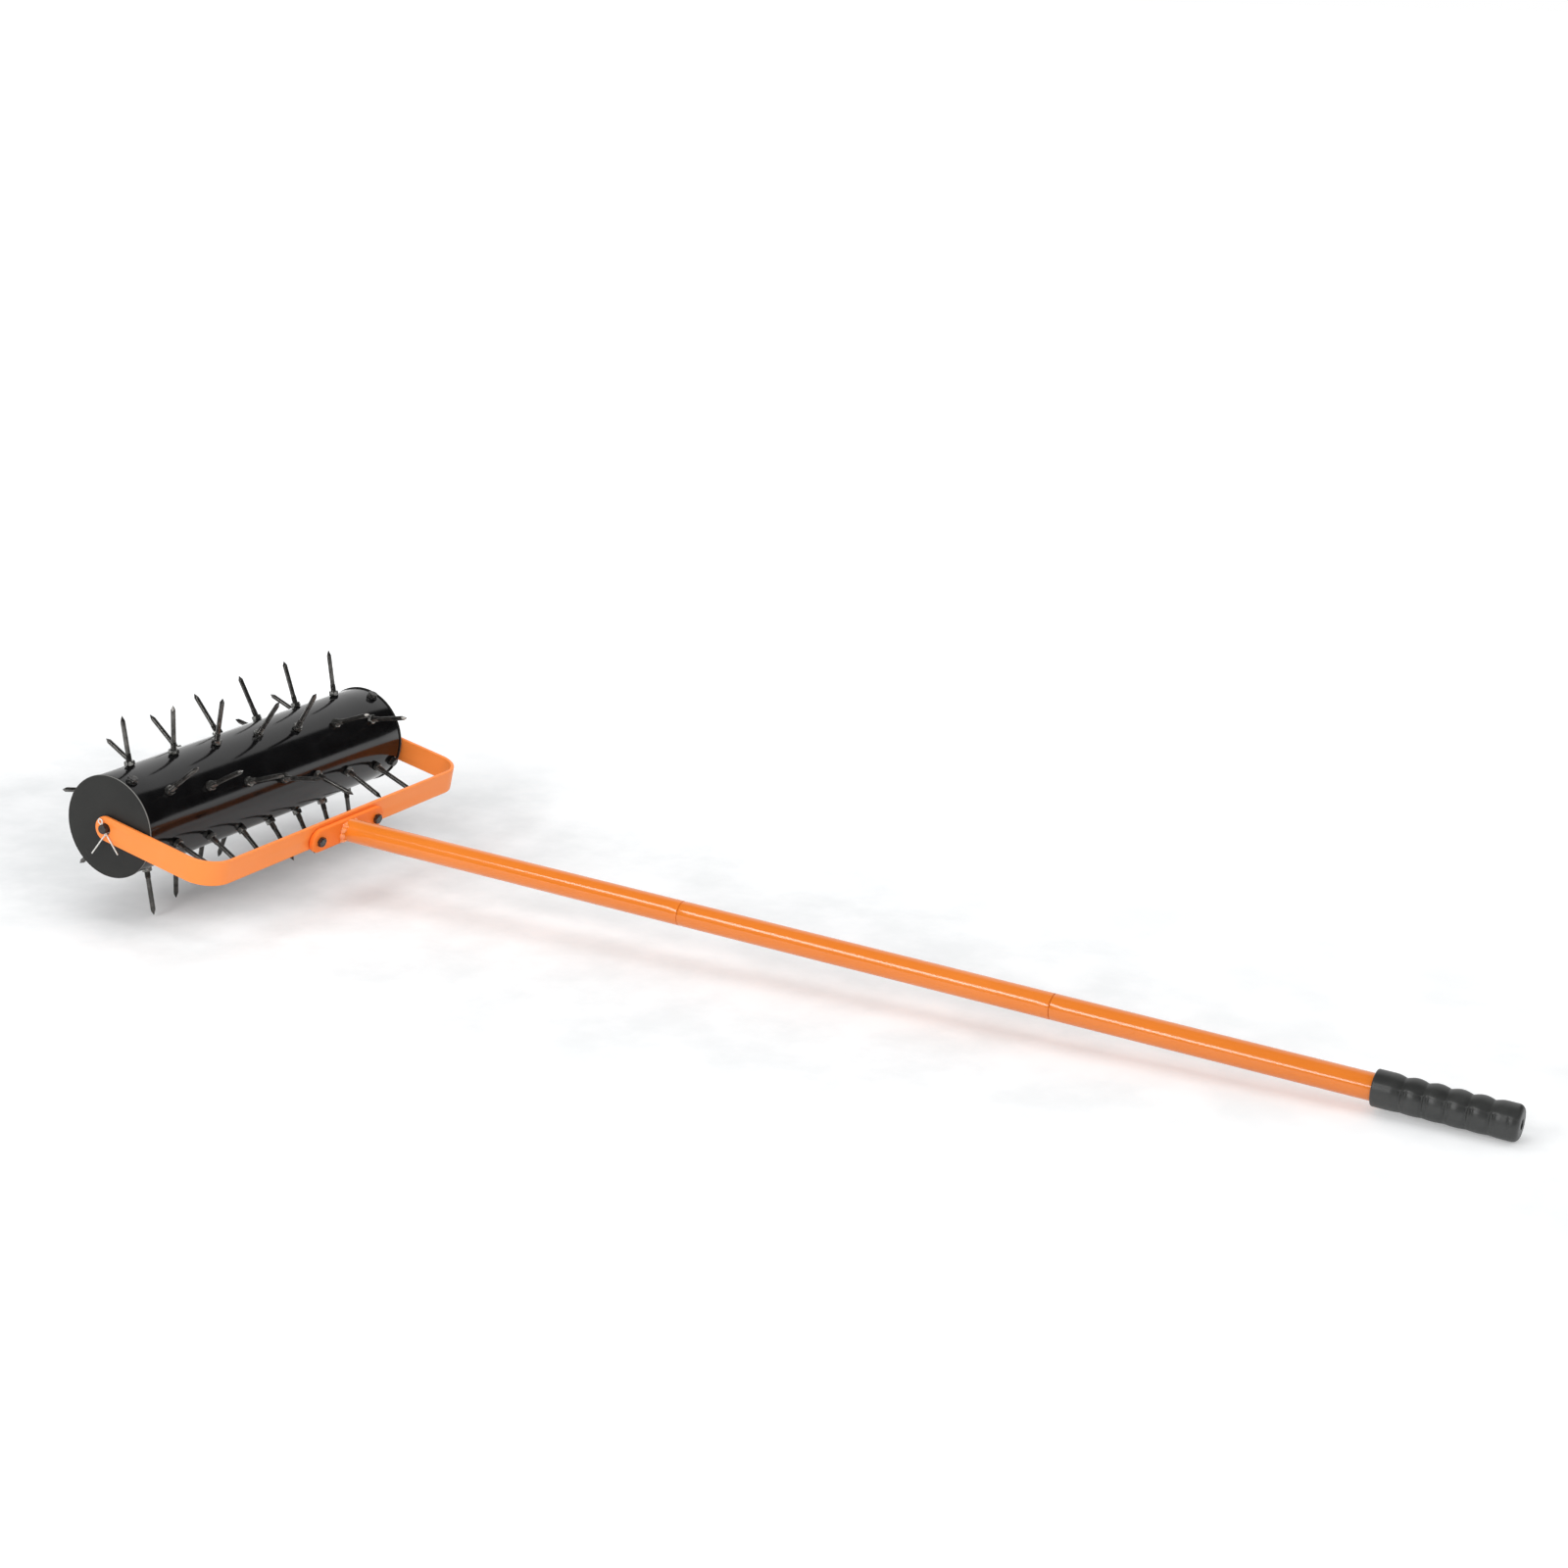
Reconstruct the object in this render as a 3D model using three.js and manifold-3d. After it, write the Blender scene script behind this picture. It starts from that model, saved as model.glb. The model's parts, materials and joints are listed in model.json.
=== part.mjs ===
// Rolling spike aerator: a spiked steel drum that turns in a strap yoke, pushed by a
// three-section tube handle with a finger grip. Millimetres, +Z up, the handle runs along +X
// and the drum's axle along Y. It lies as it is left on the ground: the lowest tines and the
// end of the grip touch the plane z = 0.
import * as THREE from 'three';
import { mergeVertices } from 'three/addons/utils/BufferGeometryUtils.js';
import Module from 'manifold-3d';

const wasm = await Module();
wasm.setup();

// Fits
const seatGap = 0.3;
const overrun = 2;
const weldTolerance = 0.0001;

// Drum shell, a length of thin steel pipe
const drumLength = 434;
const shellRadius = 54.5;
const shellWall = 2.5;
const shellSides = 36;

// End caps, pressed steel cups that slide into the shell and are bolted through it
const capRadius = 55.5;
const capThickness = 2.5;
const capEdgeChamfer = 0.6;
const capSkirtDepth = 22;
const capSkirtWall = 2;
const capBoltInset = 12;
const capBoltCount = 4;
const capBoltTurn = 65;
const capWasherRadius = 6.2;
const capWasherThickness = 1.2;

// M6 fasteners
const fastenerSides = 8;
const threadRadius = 3;
const hexAcrossFlats = 10;
const hexChamfer = 0.7;
const boltHeadHeight = 4;
const nutHeight = 5;
const threadEndLength = 2.5;

// Tines, pointed rods clamped in the shell between two nuts
const tineRows = 6;
const tineStations = 7;
const tineEndInset = 44.5;
const helixStep = -10.2;
const firstRowTurn = 7.6;
const tineReach = 54.1;
const tineThreadRadius = 3.2;
const tineThreadLength = 13.5;
const tineShoulderLength = 1.2;
const tineRodRadius = 2.6;
const tinePointLength = 7;
const tineNutHeight = 5.5;
const tineSides = 6;

// Tines that lean in their holes, in degrees
const leanDegrees = {
  tine_1_5: -14,
  tine_1_6: -14.5,
  tine_2_4: -14.5,
  tine_2_6: -27,
  tine_2_7: -26.5,
  tine_3_1: 30,
};

// Axle rod, with a split pin through each end
const axleRadius = 5;
const axleOverhang = 5.5;
const axleChamfer = 1;
const axleSides = 12;
const pinInset = 2.9;
const pinWireRadius = 0.75;
const pinLegGap = 0.35;
const pinEyeRadius = 2.6;
const pinNeckLength = 1.2;
const pinLegLengths = [24.5, 30];
const pinSteps = 24;
const pinTurn = 115;
const pinLegSpreads = [10.5, 64.5];
const thrustWasherRadius = 10;
const thrustWasherThickness = 1.2;

// Yoke, one flat bar bent to a U
const strapWidth = 27;
const strapThickness = 4;
const strapHoleRadius = 6.2;
const yokeReach = 141;
const yokeCornerRadius = 32;
const bendSegments = 8;

// Plate welded to the foot of the handle, bolted to the front of the yoke
const plateLength = 125;
const plateWidth = 27;
const plateThickness = 6;
const plateDrop = 3.5;
const plateBoltSpacing = 99;

// Handle tubes, joined end to end by threaded plugs
const handleRise = 10.3;
const tubeRadius = 13;
const tubeWall = 1.6;
const tubeEndChamfer = 0.8;
const frontTubeLength = 420;
const middleTubeLength = 409;
const rearTubeLength = 440;
const tubeSides = 20;
const weldBead = 3.2;
const plugLength = 34;
const plugRoot = 12;
const plugWall = 3;

// Finger grip, soft plastic pushed over the end of the rear tube
const gripLength = 133;
const gripLobeRadius = 17.6;
const gripUnderRadius = 17.2;
const gripGrooveDepth = 2.2;
const gripUnderGrooveShare = 0.3;
const gripTubeDepth = 127;
const gripFirstGroove = 27;
const gripGroovePitch = 19.9;
const gripGrooves = 5;
const gripMouthRound = 1.6;
const gripEndRound = 6;
const gripVentRadius = 4.6;
const gripSides = 16;

// Sizes that follow from the driving dimensions
const tipRadius = shellRadius + tineReach;
const shellInner = shellRadius - shellWall;
const shellLength = drumLength - 2 * (capThickness + seatGap);
const skirtRadius = shellInner - seatGap;
const skirtInner = skirtRadius - capSkirtWall;
const capBoltPlace = drumLength / 2 - capBoltInset;
const tinePitch = (drumLength - 2 * tineEndInset) / (tineStations - 1);
const hexCorner = hexAcrossFlats / 2 / Math.cos(Math.PI / 6);
const innerNutFace = Math.sqrt(shellInner ** 2 - hexCorner ** 2) - seatGap;
const eyeDrop = strapHoleRadius - axleRadius - seatGap;
const yokeInside = drumLength / 2 + thrustWasherThickness + 2 * seatGap;
const yokeOutside = yokeInside + strapThickness;
const axleEnd = yokeOutside + axleOverhang;
const pinPlace = axleEnd - pinInset;
const pinLegOffset = pinWireRadius + pinLegGap / 2;
const pinHoleRadius = pinLegOffset + pinWireRadius + seatGap;
const plateFront = yokeReach + seatGap + plateThickness;
const tubeBore = tubeRadius - tubeWall;
const middleTubeStart = frontTubeLength + seatGap;
const rearTubeStart = middleTubeStart + middleTubeLength + seatGap;
const gripStart = rearTubeStart + rearTubeLength + seatGap - gripTubeDepth;
const rise = THREE.MathUtils.degToRad(handleRise);

// Colours and finishes
const finish = {
  orangePaint: { color: 0xf58a48, roughness: 0.4, metalness: 0 },
  orangeTube: { color: 0xf07a2c, roughness: 0.25, metalness: 0 },
  glossBlack: { color: 0x18191a, roughness: 0.18, metalness: 0.1 },
  matteBlack: { color: 0x363635, roughness: 0.7, metalness: 0 },
  blackSteel: { color: 0x282726, roughness: 0.45, metalness: 0.6 },
  zincSteel: { color: 0xc4c0b6, roughness: 0.3, metalness: 0.9 },
  darkGrip: { color: 0x3c3e3d, roughness: 0.6, metalness: 0 },
};

// A closed geometry as a solid, with the vertices that its faces share merged
function solidOf(geometry) {
  const bare = geometry.clone();
  bare.deleteAttribute('normal');
  bare.deleteAttribute('uv');
  const merged = mergeVertices(bare, weldTolerance);
  const vertProperties = new Float32Array(merged.attributes.position.array);
  const triVerts = new Uint32Array(merged.index.array);
  return new wasm.Manifold(new wasm.Mesh({ numProp: 3, vertProperties, triVerts }));
}

// A solid's surface as a geometry
function geometryOf(solid) {
  const surface = solid.getMesh();
  const geometry = new THREE.BufferGeometry();
  const points = new Float32Array(surface.vertProperties);
  geometry.setAttribute('position', new THREE.BufferAttribute(points, 3));
  geometry.setIndex(new THREE.BufferAttribute(new Uint32Array(surface.triVerts), 1));
  geometry.computeVertexNormals();
  return geometry;
}

function piece(name, geometry, look) {
  const mesh = new THREE.Mesh(geometry, new THREE.MeshStandardMaterial(look));
  mesh.name = name;
  return mesh;
}

function joined(...solids) {
  return solids.reduce((whole, solid) => whole.add(solid));
}

function cut(body, cutters) {
  return cutters.reduce((rest, cutter) => rest.subtract(cutter), body);
}

// Revolves a profile of [radius, height] points about Y
function revolve(profile, sides) {
  const points = profile.map(([radius, height]) => new THREE.Vector2(radius, height));
  return new THREE.LatheGeometry(points, sides);
}

// Revolves the same kind of profile about X
function revolveAlongX(profile, sides) {
  return revolve(profile, sides).rotateZ(-Math.PI / 2);
}

function barProfile(radius, from, to) {
  return [[0, from], [radius, from], [radius, to], [0, to]];
}

function ringProfile(inner, outer, from, to) {
  return [[inner, from], [outer, from], [outer, to], [inner, to], [inner, from]];
}

// A six-sided head or nut along X, with the corners of its far end chamfered
function hexAlongX(from, height) {
  const to = from + height;
  return revolveAlongX([
    [0, from],
    [hexCorner, from],
    [hexCorner, to - hexChamfer / 2],
    [hexCorner - hexChamfer, to],
    [0, to],
  ], 6);
}

// Turns what points along +X to its angle round the axle, and moves it along the axle
function roundAxle(geometry, turn, place) {
  return geometry.rotateY(-THREE.MathUtils.degToRad(turn)).translate(0, place, 0);
}

// Where each tine stands: rows round the drum, each row wound along a slow helix
function tinePlaces() {
  const places = [];
  for (let row = 0; row < tineRows; row += 1) {
    for (let station = 0; station < tineStations; station += 1) {
      const step = station - (tineStations - 1) / 2;
      const name = `tine_${row + 1}_${station + 1}`;
      const turn = firstRowTurn + (row * 360) / tineRows + step * helixStep;
      places.push({ name, turn, along: step * tinePitch, lean: leanDegrees[name] ?? 0 });
    }
  }
  return places;
}

// Puts a geometry that points along +X from its seat onto the shell, leaning as the tine does
function atTine(geometry, { turn, along, lean }) {
  geometry.rotateY(-THREE.MathUtils.degToRad(lean)).translate(shellRadius, 0, 0);
  return roundAxle(geometry, turn, along);
}

// A tine points along +X from its seat on the shell: a rod with a rolled thread at its foot,
// a four-sided point, and a nut on each side of the shell wall. Where it leans, the nuts are
// trimmed to stay clear of the wall.
function tineGeometry(lean) {
  const innerNutTop = innerNutFace - shellRadius;
  const tail = innerNutTop - nutHeight;
  const rod = solidOf(revolveAlongX([
    [0, tail],
    [tineThreadRadius, tail],
    [tineThreadRadius, tineThreadLength],
    [tineRodRadius, tineThreadLength + tineShoulderLength],
    [tineRodRadius, tineReach],
    [0, tineReach],
  ], tineSides));
  const pyramidHeight = tineReach - tail + overrun;
  const pyramidHalfWidth = (pyramidHeight * tineRodRadius) / tinePointLength;
  const pyramid = new THREE.ConeGeometry(pyramidHalfWidth * Math.SQRT2, pyramidHeight, 4);
  pyramid.rotateY(Math.PI / 4).rotateZ(-Math.PI / 2).translate(tineReach - pyramidHeight / 2, 0, 0);
  const pointed = rod.intersect(solidOf(pyramid));
  const outerNut = solidOf(revolveAlongX(barProfile(hexCorner, seatGap, seatGap + tineNutHeight), 6));
  const innerNut = solidOf(revolveAlongX(barProfile(hexCorner, tail, innerNutTop), 6));
  if (lean === 0) return geometryOf(joined(pointed, outerNut, innerNut));
  const drumBody = (radius) => {
    const body = revolve(barProfile(radius, -tinePitch / 2, tinePitch / 2), shellSides);
    return solidOf(body.translate(-shellRadius, 0, 0).rotateY(THREE.MathUtils.degToRad(lean)));
  };
  const outsidePart = outerNut.subtract(drumBody(shellRadius + seatGap));
  const insidePart = innerNut.intersect(drumBody(shellInner - seatGap));
  return geometryOf(joined(pointed, outsidePart, insidePart));
}

function tineMeshes() {
  const shapes = new Map();
  return tinePlaces().map(({ name, turn, along, lean }) => {
    if (!shapes.has(lean)) shapes.set(lean, tineGeometry(lean));
    const tine = piece(name, shapes.get(lean), finish.blackSteel);
    const seat = THREE.MathUtils.degToRad(turn);
    tine.position.set(shellRadius * Math.cos(seat), along, shellRadius * Math.sin(seat));
    tine.rotation.y = -THREE.MathUtils.degToRad(turn + lean);
    return tine;
  });
}

// The shell is a pipe with a hole for every tine and for the end caps' bolts
function drumShell() {
  const half = shellLength / 2;
  const pipe = solidOf(revolve(ringProfile(shellInner, shellRadius, -half, half), shellSides));
  const depth = 2 * shellWall + overrun;
  const tineHoles = tinePlaces().map((place) => {
    const drill = revolveAlongX(barProfile(tineThreadRadius + seatGap, -depth, depth), tineSides);
    return solidOf(atTine(drill, place));
  });
  const boltHoles = [-capBoltPlace, capBoltPlace].flatMap((place) => capBoltTurns().map((turn) => {
    const bore = barProfile(threadRadius + seatGap, shellInner - overrun, shellRadius + overrun);
    return solidOf(roundAxle(revolveAlongX(bore, fastenerSides), turn, place));
  }));
  return piece('drum_shell', geometryOf(cut(pipe, [...tineHoles, ...boltHoles])), finish.glossBlack);
}

function capBoltTurns() {
  return Array.from({ length: capBoltCount }, (_, index) => capBoltTurn + (index * 360) / capBoltCount);
}

// An end cap is a flat disc a little wider than the shell, with a skirt inside it. Its bolts and
// their weld nuts are one with the skirt.
function endCap(name, side) {
  const face = drumLength / 2;
  const back = face - capThickness;
  const bore = axleRadius + seatGap;
  const cup = solidOf(revolve([
    [bore, back],
    [skirtInner, back],
    [skirtInner, back - capSkirtDepth],
    [skirtRadius, back - capSkirtDepth],
    [skirtRadius, back],
    [capRadius, back],
    [capRadius, face - capEdgeChamfer],
    [capRadius - capEdgeChamfer, face],
    [bore, face],
    [bore, back],
  ], shellSides));
  const bolts = capBoltTurns().map((turn) => {
    const seat = shellRadius + seatGap;
    const nutFoot = skirtInner - nutHeight;
    const washerTop = seat + capWasherThickness;
    const shank = barProfile(threadRadius, nutFoot - threadEndLength, washerTop);
    const washer = barProfile(capWasherRadius, seat, washerTop);
    const nut = barProfile(hexCorner, nutFoot, skirtInner + capSkirtWall / 2);
    const head = hexAlongX(seat + capWasherThickness / 2, boltHeadHeight + capWasherThickness / 2);
    const bolt = joined(
      solidOf(revolveAlongX(shank, fastenerSides)),
      solidOf(revolveAlongX(washer, fastenerSides)),
      solidOf(revolveAlongX(nut, 6)),
      solidOf(head),
    );
    return solidOf(roundAxle(geometryOf(bolt), side * turn, capBoltPlace));
  });
  const cap = geometryOf(joined(cup, ...bolts));
  const mesh = piece(name, cap, finish.matteBlack);
  if (side < 0) mesh.rotation.x = Math.PI;
  return mesh;
}

function axle() {
  const rod = solidOf(revolve([
    [0, -axleEnd],
    [axleRadius - axleChamfer, -axleEnd],
    [axleRadius, axleChamfer - axleEnd],
    [axleRadius, axleEnd - axleChamfer],
    [axleRadius - axleChamfer, axleEnd],
    [0, axleEnd],
  ], axleSides));
  const pinHoles = [-pinPlace, pinPlace].map((place) => {
    const bore = barProfile(pinHoleRadius, -2 * axleRadius, 2 * axleRadius);
    return solidOf(roundAxle(revolveAlongX(bore, fastenerSides), pinTurn, place));
  });
  return piece('axle', geometryOf(cut(rod, pinHoles)), finish.blackSteel);
}

// A split pin is one wire: an eye above the axle, and two legs that pass through the hole side
// by side and are bent apart below it. Its hole runs along X here.
function splitPin(name, place) {
  const mouth = axleRadius + pinNeckLength;
  const leg = (side, length, spread) => {
    const away = THREE.MathUtils.degToRad(spread);
    const along = new THREE.Vector3(-Math.cos(away), 0, side * Math.sin(away));
    const neck = new THREE.Vector3(-mouth, 0, side * pinLegOffset);
    return [
      neck.clone().addScaledVector(along, length),
      neck.clone().addScaledVector(along, length / 6),
      neck,
      new THREE.Vector3(0, 0, side * pinLegOffset),
      new THREE.Vector3(axleRadius, 0, side * pinLegOffset),
      new THREE.Vector3(mouth + pinEyeRadius, 0, side * pinEyeRadius),
    ];
  };
  const eyeTop = new THREE.Vector3(mouth + 2 * pinEyeRadius, 0, 0);
  const [shortLeg, longLeg] = pinLegLengths;
  const [shortSpread, longSpread] = pinLegSpreads;
  const route = [...leg(-1, shortLeg, shortSpread), eyeTop, ...leg(1, longLeg, longSpread).reverse()];
  const section = new THREE.Shape();
  section.absarc(0, 0, pinWireRadius, 0, 2 * Math.PI);
  const wire = new THREE.ExtrudeGeometry(section, {
    extrudePath: new THREE.CatmullRomCurve3(route, false, 'centripetal'),
    steps: pinSteps,
    curveSegments: fastenerSides / 4,
  });
  return piece(name, geometryOf(solidOf(roundAxle(wire, pinTurn, place))), finish.zincSteel);
}

function thrustWasher(name, side) {
  const from = drumLength / 2 + seatGap;
  const ring = ringProfile(axleRadius + seatGap, thrustWasherRadius, from, from + thrustWasherThickness);
  const mesh = piece(name, geometryOf(solidOf(revolve(ring, axleSides))), finish.zincSteel);
  if (side < 0) mesh.rotation.x = Math.PI;
  return mesh;
}

// Places of the two bolts that hold the handle plate
function plateBoltPlaces() {
  return [-plateBoltSpacing / 2, plateBoltSpacing / 2];
}

function plateBoltHoles() {
  const from = yokeReach - strapThickness - overrun;
  return plateBoltPlaces().map((place) => {
    const bore = barProfile(threadRadius + seatGap, from, plateFront + overrun);
    return solidOf(revolveAlongX(bore, fastenerSides).translate(0, place, -plateDrop));
  });
}

// The yoke's flat bar stands on edge: two arms, two bent corners and a crossbar, with a round
// eye at the end of each arm
function yokeStrap() {
  const corner = yokeReach - yokeCornerRadius;
  const innerRadius = yokeCornerRadius - strapThickness;
  const cornerSide = yokeOutside - yokeCornerRadius;
  const outline = new THREE.Shape();
  outline.moveTo(0, -yokeOutside);
  outline.absarc(corner, -cornerSide, yokeCornerRadius, -Math.PI / 2, 0, false);
  outline.absarc(corner, cornerSide, yokeCornerRadius, 0, Math.PI / 2, false);
  outline.lineTo(0, yokeOutside);
  outline.lineTo(0, yokeInside);
  outline.absarc(corner, cornerSide, innerRadius, Math.PI / 2, 0, true);
  outline.absarc(corner, -cornerSide, innerRadius, 0, -Math.PI / 2, true);
  outline.lineTo(0, -yokeInside);
  const bar = new THREE.ExtrudeGeometry(outline, {
    depth: strapWidth,
    bevelEnabled: false,
    curveSegments: bendSegments,
  });
  bar.translate(0, 0, -strapWidth / 2);
  const eyes = [-yokeOutside, yokeInside].map((from) => (
    solidOf(revolve(barProfile(strapWidth / 2, from, from + strapThickness), tubeSides))
  ));
  const past = yokeOutside + overrun;
  const eyeHole = solidOf(revolve(barProfile(strapHoleRadius, -past, past), axleSides));
  const strap = cut(joined(solidOf(bar), ...eyes), [eyeHole, ...plateBoltHoles()]);
  return piece('yoke_strap', geometryOf(strap), finish.orangePaint);
}

// Where the handle's axis leaves the plate, and its slope there
function handleFrame() {
  return new THREE.Matrix4().makeRotationY(-rise).setPosition(plateFront, 0, -plateDrop);
}

function tubeProfile(from, to) {
  return [
    [tubeBore, from],
    [tubeRadius - tubeEndChamfer, from],
    [tubeRadius, from + tubeEndChamfer],
    [tubeRadius, to - tubeEndChamfer],
    [tubeRadius - tubeEndChamfer, to],
    [tubeBore, to],
    [tubeBore, from],
  ];
}

// The plate has full round ends. The front tube stands on it at a slope, nearly as wide as the
// plate, with a bead of weld down each side.
function frontHandleSection() {
  const plateOutline = new THREE.Shape();
  const endRadius = plateWidth / 2;
  const endPlace = plateLength / 2 - endRadius;
  plateOutline.absarc(endPlace, 0, endRadius, -Math.PI / 2, Math.PI / 2, false);
  plateOutline.absarc(-endPlace, 0, endRadius, Math.PI / 2, (3 * Math.PI) / 2, false);
  const plate = new THREE.ExtrudeGeometry(plateOutline, {
    depth: plateThickness,
    bevelEnabled: false,
    curveSegments: bendSegments,
  });
  plate.rotateX(Math.PI / 2).rotateZ(Math.PI / 2).translate(plateFront - plateThickness, 0, -plateDrop);
  const sunk = plateThickness / 2;
  const foot = tubeRadius * Math.tan(rise) + sunk / Math.cos(rise) + overrun;
  const tube = revolveAlongX(tubeProfile(-foot, frontTubeLength), tubeSides);
  const behind = new THREE.BoxGeometry(2 * foot + overrun, 3 * tubeRadius, 3 * tubeRadius);
  behind.translate(plateFront - sunk - foot - overrun / 2, 0, -plateDrop);
  const bead = revolveAlongX([
    [tubeRadius - tubeWall / 2, -sunk],
    [tubeRadius + weldBead, -sunk],
    [tubeRadius + weldBead, 0],
    [tubeRadius + weldBead / 2, weldBead / 2],
    [tubeRadius, weldBead],
    [tubeRadius - tubeWall / 2, weldBead],
    [tubeRadius - tubeWall / 2, -sunk],
  ], tubeSides).translate(plateFront, 0, -plateDrop);
  const onPlate = new THREE.BoxGeometry(4 * weldBead, 4 * tubeRadius, plateWidth);
  onPlate.translate(plateFront, 0, -plateDrop);
  const weld = solidOf(bead).intersect(solidOf(onPlate));
  const standing = solidOf(tube.applyMatrix4(handleFrame())).subtract(solidOf(behind));
  const section = cut(joined(solidOf(plate), standing, weld), plateBoltHoles());
  return piece('front_handle_section', geometryOf(section), finish.orangeTube);
}

// A following tube, with the hollow threaded plug in its mouth that screws into the tube before it
function pluggedTube(name, from, length) {
  const tube = solidOf(revolveAlongX(tubeProfile(from, from + length), tubeSides));
  const plugRadius = tubeBore - seatGap;
  const plugBore = plugRadius - plugWall;
  const plug = solidOf(revolveAlongX([
    [plugBore, from - plugLength],
    [plugRadius, from - plugLength],
    [plugRadius, from],
    [tubeBore + tubeWall / 2, from],
    [tubeBore + tubeWall / 2, from + plugRoot],
    [plugBore, from + plugRoot],
    [plugBore, from - plugLength],
  ], tubeSides));
  return piece(name, geometryOf(joined(tube, plug)), finish.orangeTube);
}

// Depth of the finger grooves at a place along the grip: sharp valleys between rounded lobes
function grooveDepth(place) {
  const nearest = Math.round((place - gripFirstGroove) / gripGroovePitch);
  const groove = Math.min(Math.max(nearest, 0), gripGrooves - 1);
  const away = Math.abs(place - gripFirstGroove - groove * gripGroovePitch) / gripGroovePitch;
  return away < 0.5 ? gripGrooveDepth * (1 - Math.sin(Math.PI * away)) : 0;
}

// Rings of the grip as [place, inset]: rounded mouth, the grooves and the rounded end
function gripStations() {
  const stations = [0, 0.5, 1].map((share) => {
    const angle = (share * Math.PI) / 2;
    return [gripMouthRound * (1 - Math.cos(angle)), gripMouthRound * (1 - Math.sin(angle))];
  });
  const grooveShares = [-0.5, -0.32, -0.16, 0, 0.16, 0.32];
  for (let groove = 0; groove < gripGrooves; groove += 1) {
    const centre = gripFirstGroove + groove * gripGroovePitch;
    grooveShares.forEach((share) => stations.push([centre + share * gripGroovePitch, 0]));
  }
  stations.push([gripFirstGroove + (gripGrooves - 0.5) * gripGroovePitch, 0]);
  [0, 0.25, 0.5, 0.75, 1].forEach((share) => {
    const angle = (share * Math.PI) / 2;
    const inset = gripEndRound * (1 - Math.cos(angle));
    stations.push([gripLength - gripEndRound * (1 - Math.sin(angle)), inset]);
  });
  return stations;
}

// The grip is a lofted body: deeply grooved over its top and sides, faintly underneath
function fingerGrip() {
  const points = [];
  const faces = [];
  const stations = gripStations();
  stations.forEach(([place, inset]) => {
    for (let side = 0; side < gripSides; side += 1) {
      const angle = (2 * Math.PI * side) / gripSides;
      const upShare = THREE.MathUtils.smoothstep(Math.cos(angle), -0.9, 0);
      const lobe = THREE.MathUtils.lerp(gripUnderRadius, gripLobeRadius, upShare);
      const grooveShare = THREE.MathUtils.lerp(gripUnderGrooveShare, 1, upShare);
      const radius = lobe - grooveShare * grooveDepth(place) - inset;
      points.push(gripStart + place, radius * Math.sin(angle), radius * Math.cos(angle));
    }
  });
  const last = stations.length - 1;
  const ends = [points.length / 3, points.length / 3 + 1];
  points.push(gripStart, 0, 0, gripStart + gripLength, 0, 0);
  for (let side = 0; side < gripSides; side += 1) {
    const next = (side + 1) % gripSides;
    for (let ring = 0; ring < last; ring += 1) {
      const here = ring * gripSides;
      const there = here + gripSides;
      faces.push(here + side, there + side, there + next, here + side, there + next, here + next);
    }
    faces.push(ends[0], side, next, ends[1], last * gripSides + next, last * gripSides + side);
  }
  const body = new THREE.BufferGeometry();
  body.setAttribute('position', new THREE.BufferAttribute(new Float32Array(points), 3));
  body.setIndex(faces);
  const socket = barProfile(tubeRadius + seatGap, gripStart - overrun, gripStart + gripTubeDepth);
  const vent = barProfile(gripVentRadius, gripStart, gripStart + gripLength + overrun);
  const grip = cut(solidOf(body), [
    solidOf(revolveAlongX(socket, tubeSides)),
    solidOf(revolveAlongX(vent, fastenerSides)),
  ]);
  return piece('finger_grip', geometryOf(grip), finish.darkGrip);
}

// Plate bolts come from the front; their nuts sit behind the crossbar
function plateBolt(name, place) {
  const nutFoot = yokeReach - strapThickness - seatGap - nutHeight;
  const headSeat = plateFront + seatGap;
  const shank = barProfile(threadRadius, nutFoot - threadEndLength, headSeat + boltHeadHeight / 2);
  const bolt = joined(
    solidOf(revolveAlongX(shank, fastenerSides)),
    solidOf(hexAlongX(headSeat, boltHeadHeight)),
  );
  return piece(name, geometryOf(bolt).translate(0, place, -plateDrop), finish.blackSteel);
}

function plateNut(name, place) {
  const face = yokeReach - strapThickness - seatGap;
  const hex = solidOf(hexAlongX(-face, nutHeight).rotateZ(Math.PI));
  const bore = barProfile(threadRadius + seatGap, face - nutHeight - overrun, face + overrun);
  const nut = hex.subtract(solidOf(revolveAlongX(bore, fastenerSides)));
  return piece(name, geometryOf(nut).translate(0, place, -plateDrop), finish.blackSteel);
}

// The yoke and handle tip about the eyes until the grip's end rests on the ground
function restTilt() {
  const heel = new THREE.Vector3(gripStart + gripLength - gripEndRound, 0, -gripUnderRadius);
  heel.applyMatrix4(handleFrame());
  return Math.atan2(heel.z, heel.x) + Math.asin((tipRadius - eyeDrop) / Math.hypot(heel.x, heel.z));
}

const drum = new THREE.Group();
drum.add(
  drumShell(),
  endCap('left_end_cap', -1),
  endCap('right_end_cap', 1),
  axle(),
  splitPin('left_split_pin', -pinPlace),
  splitPin('right_split_pin', pinPlace),
  thrustWasher('left_thrust_washer', -1),
  thrustWasher('right_thrust_washer', 1),
  ...tineMeshes(),
);

const handle = new THREE.Group();
handle.applyMatrix4(handleFrame());
handle.add(
  pluggedTube('middle_tube', middleTubeStart, middleTubeLength),
  pluggedTube('rear_tube', rearTubeStart, rearTubeLength),
  fingerGrip(),
);

// The eyes hang on the axle, so their centres lie a little below its own
const yoke = new THREE.Group();
yoke.position.z = -eyeDrop;
yoke.rotation.y = restTilt();
yoke.add(yokeStrap(), frontHandleSection(), handle);
plateBoltPlaces().forEach((place) => {
  const side = place < 0 ? 'left' : 'right';
  yoke.add(plateBolt(`${side}_plate_bolt`, place), plateNut(`${side}_plate_nut`, place));
});

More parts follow.
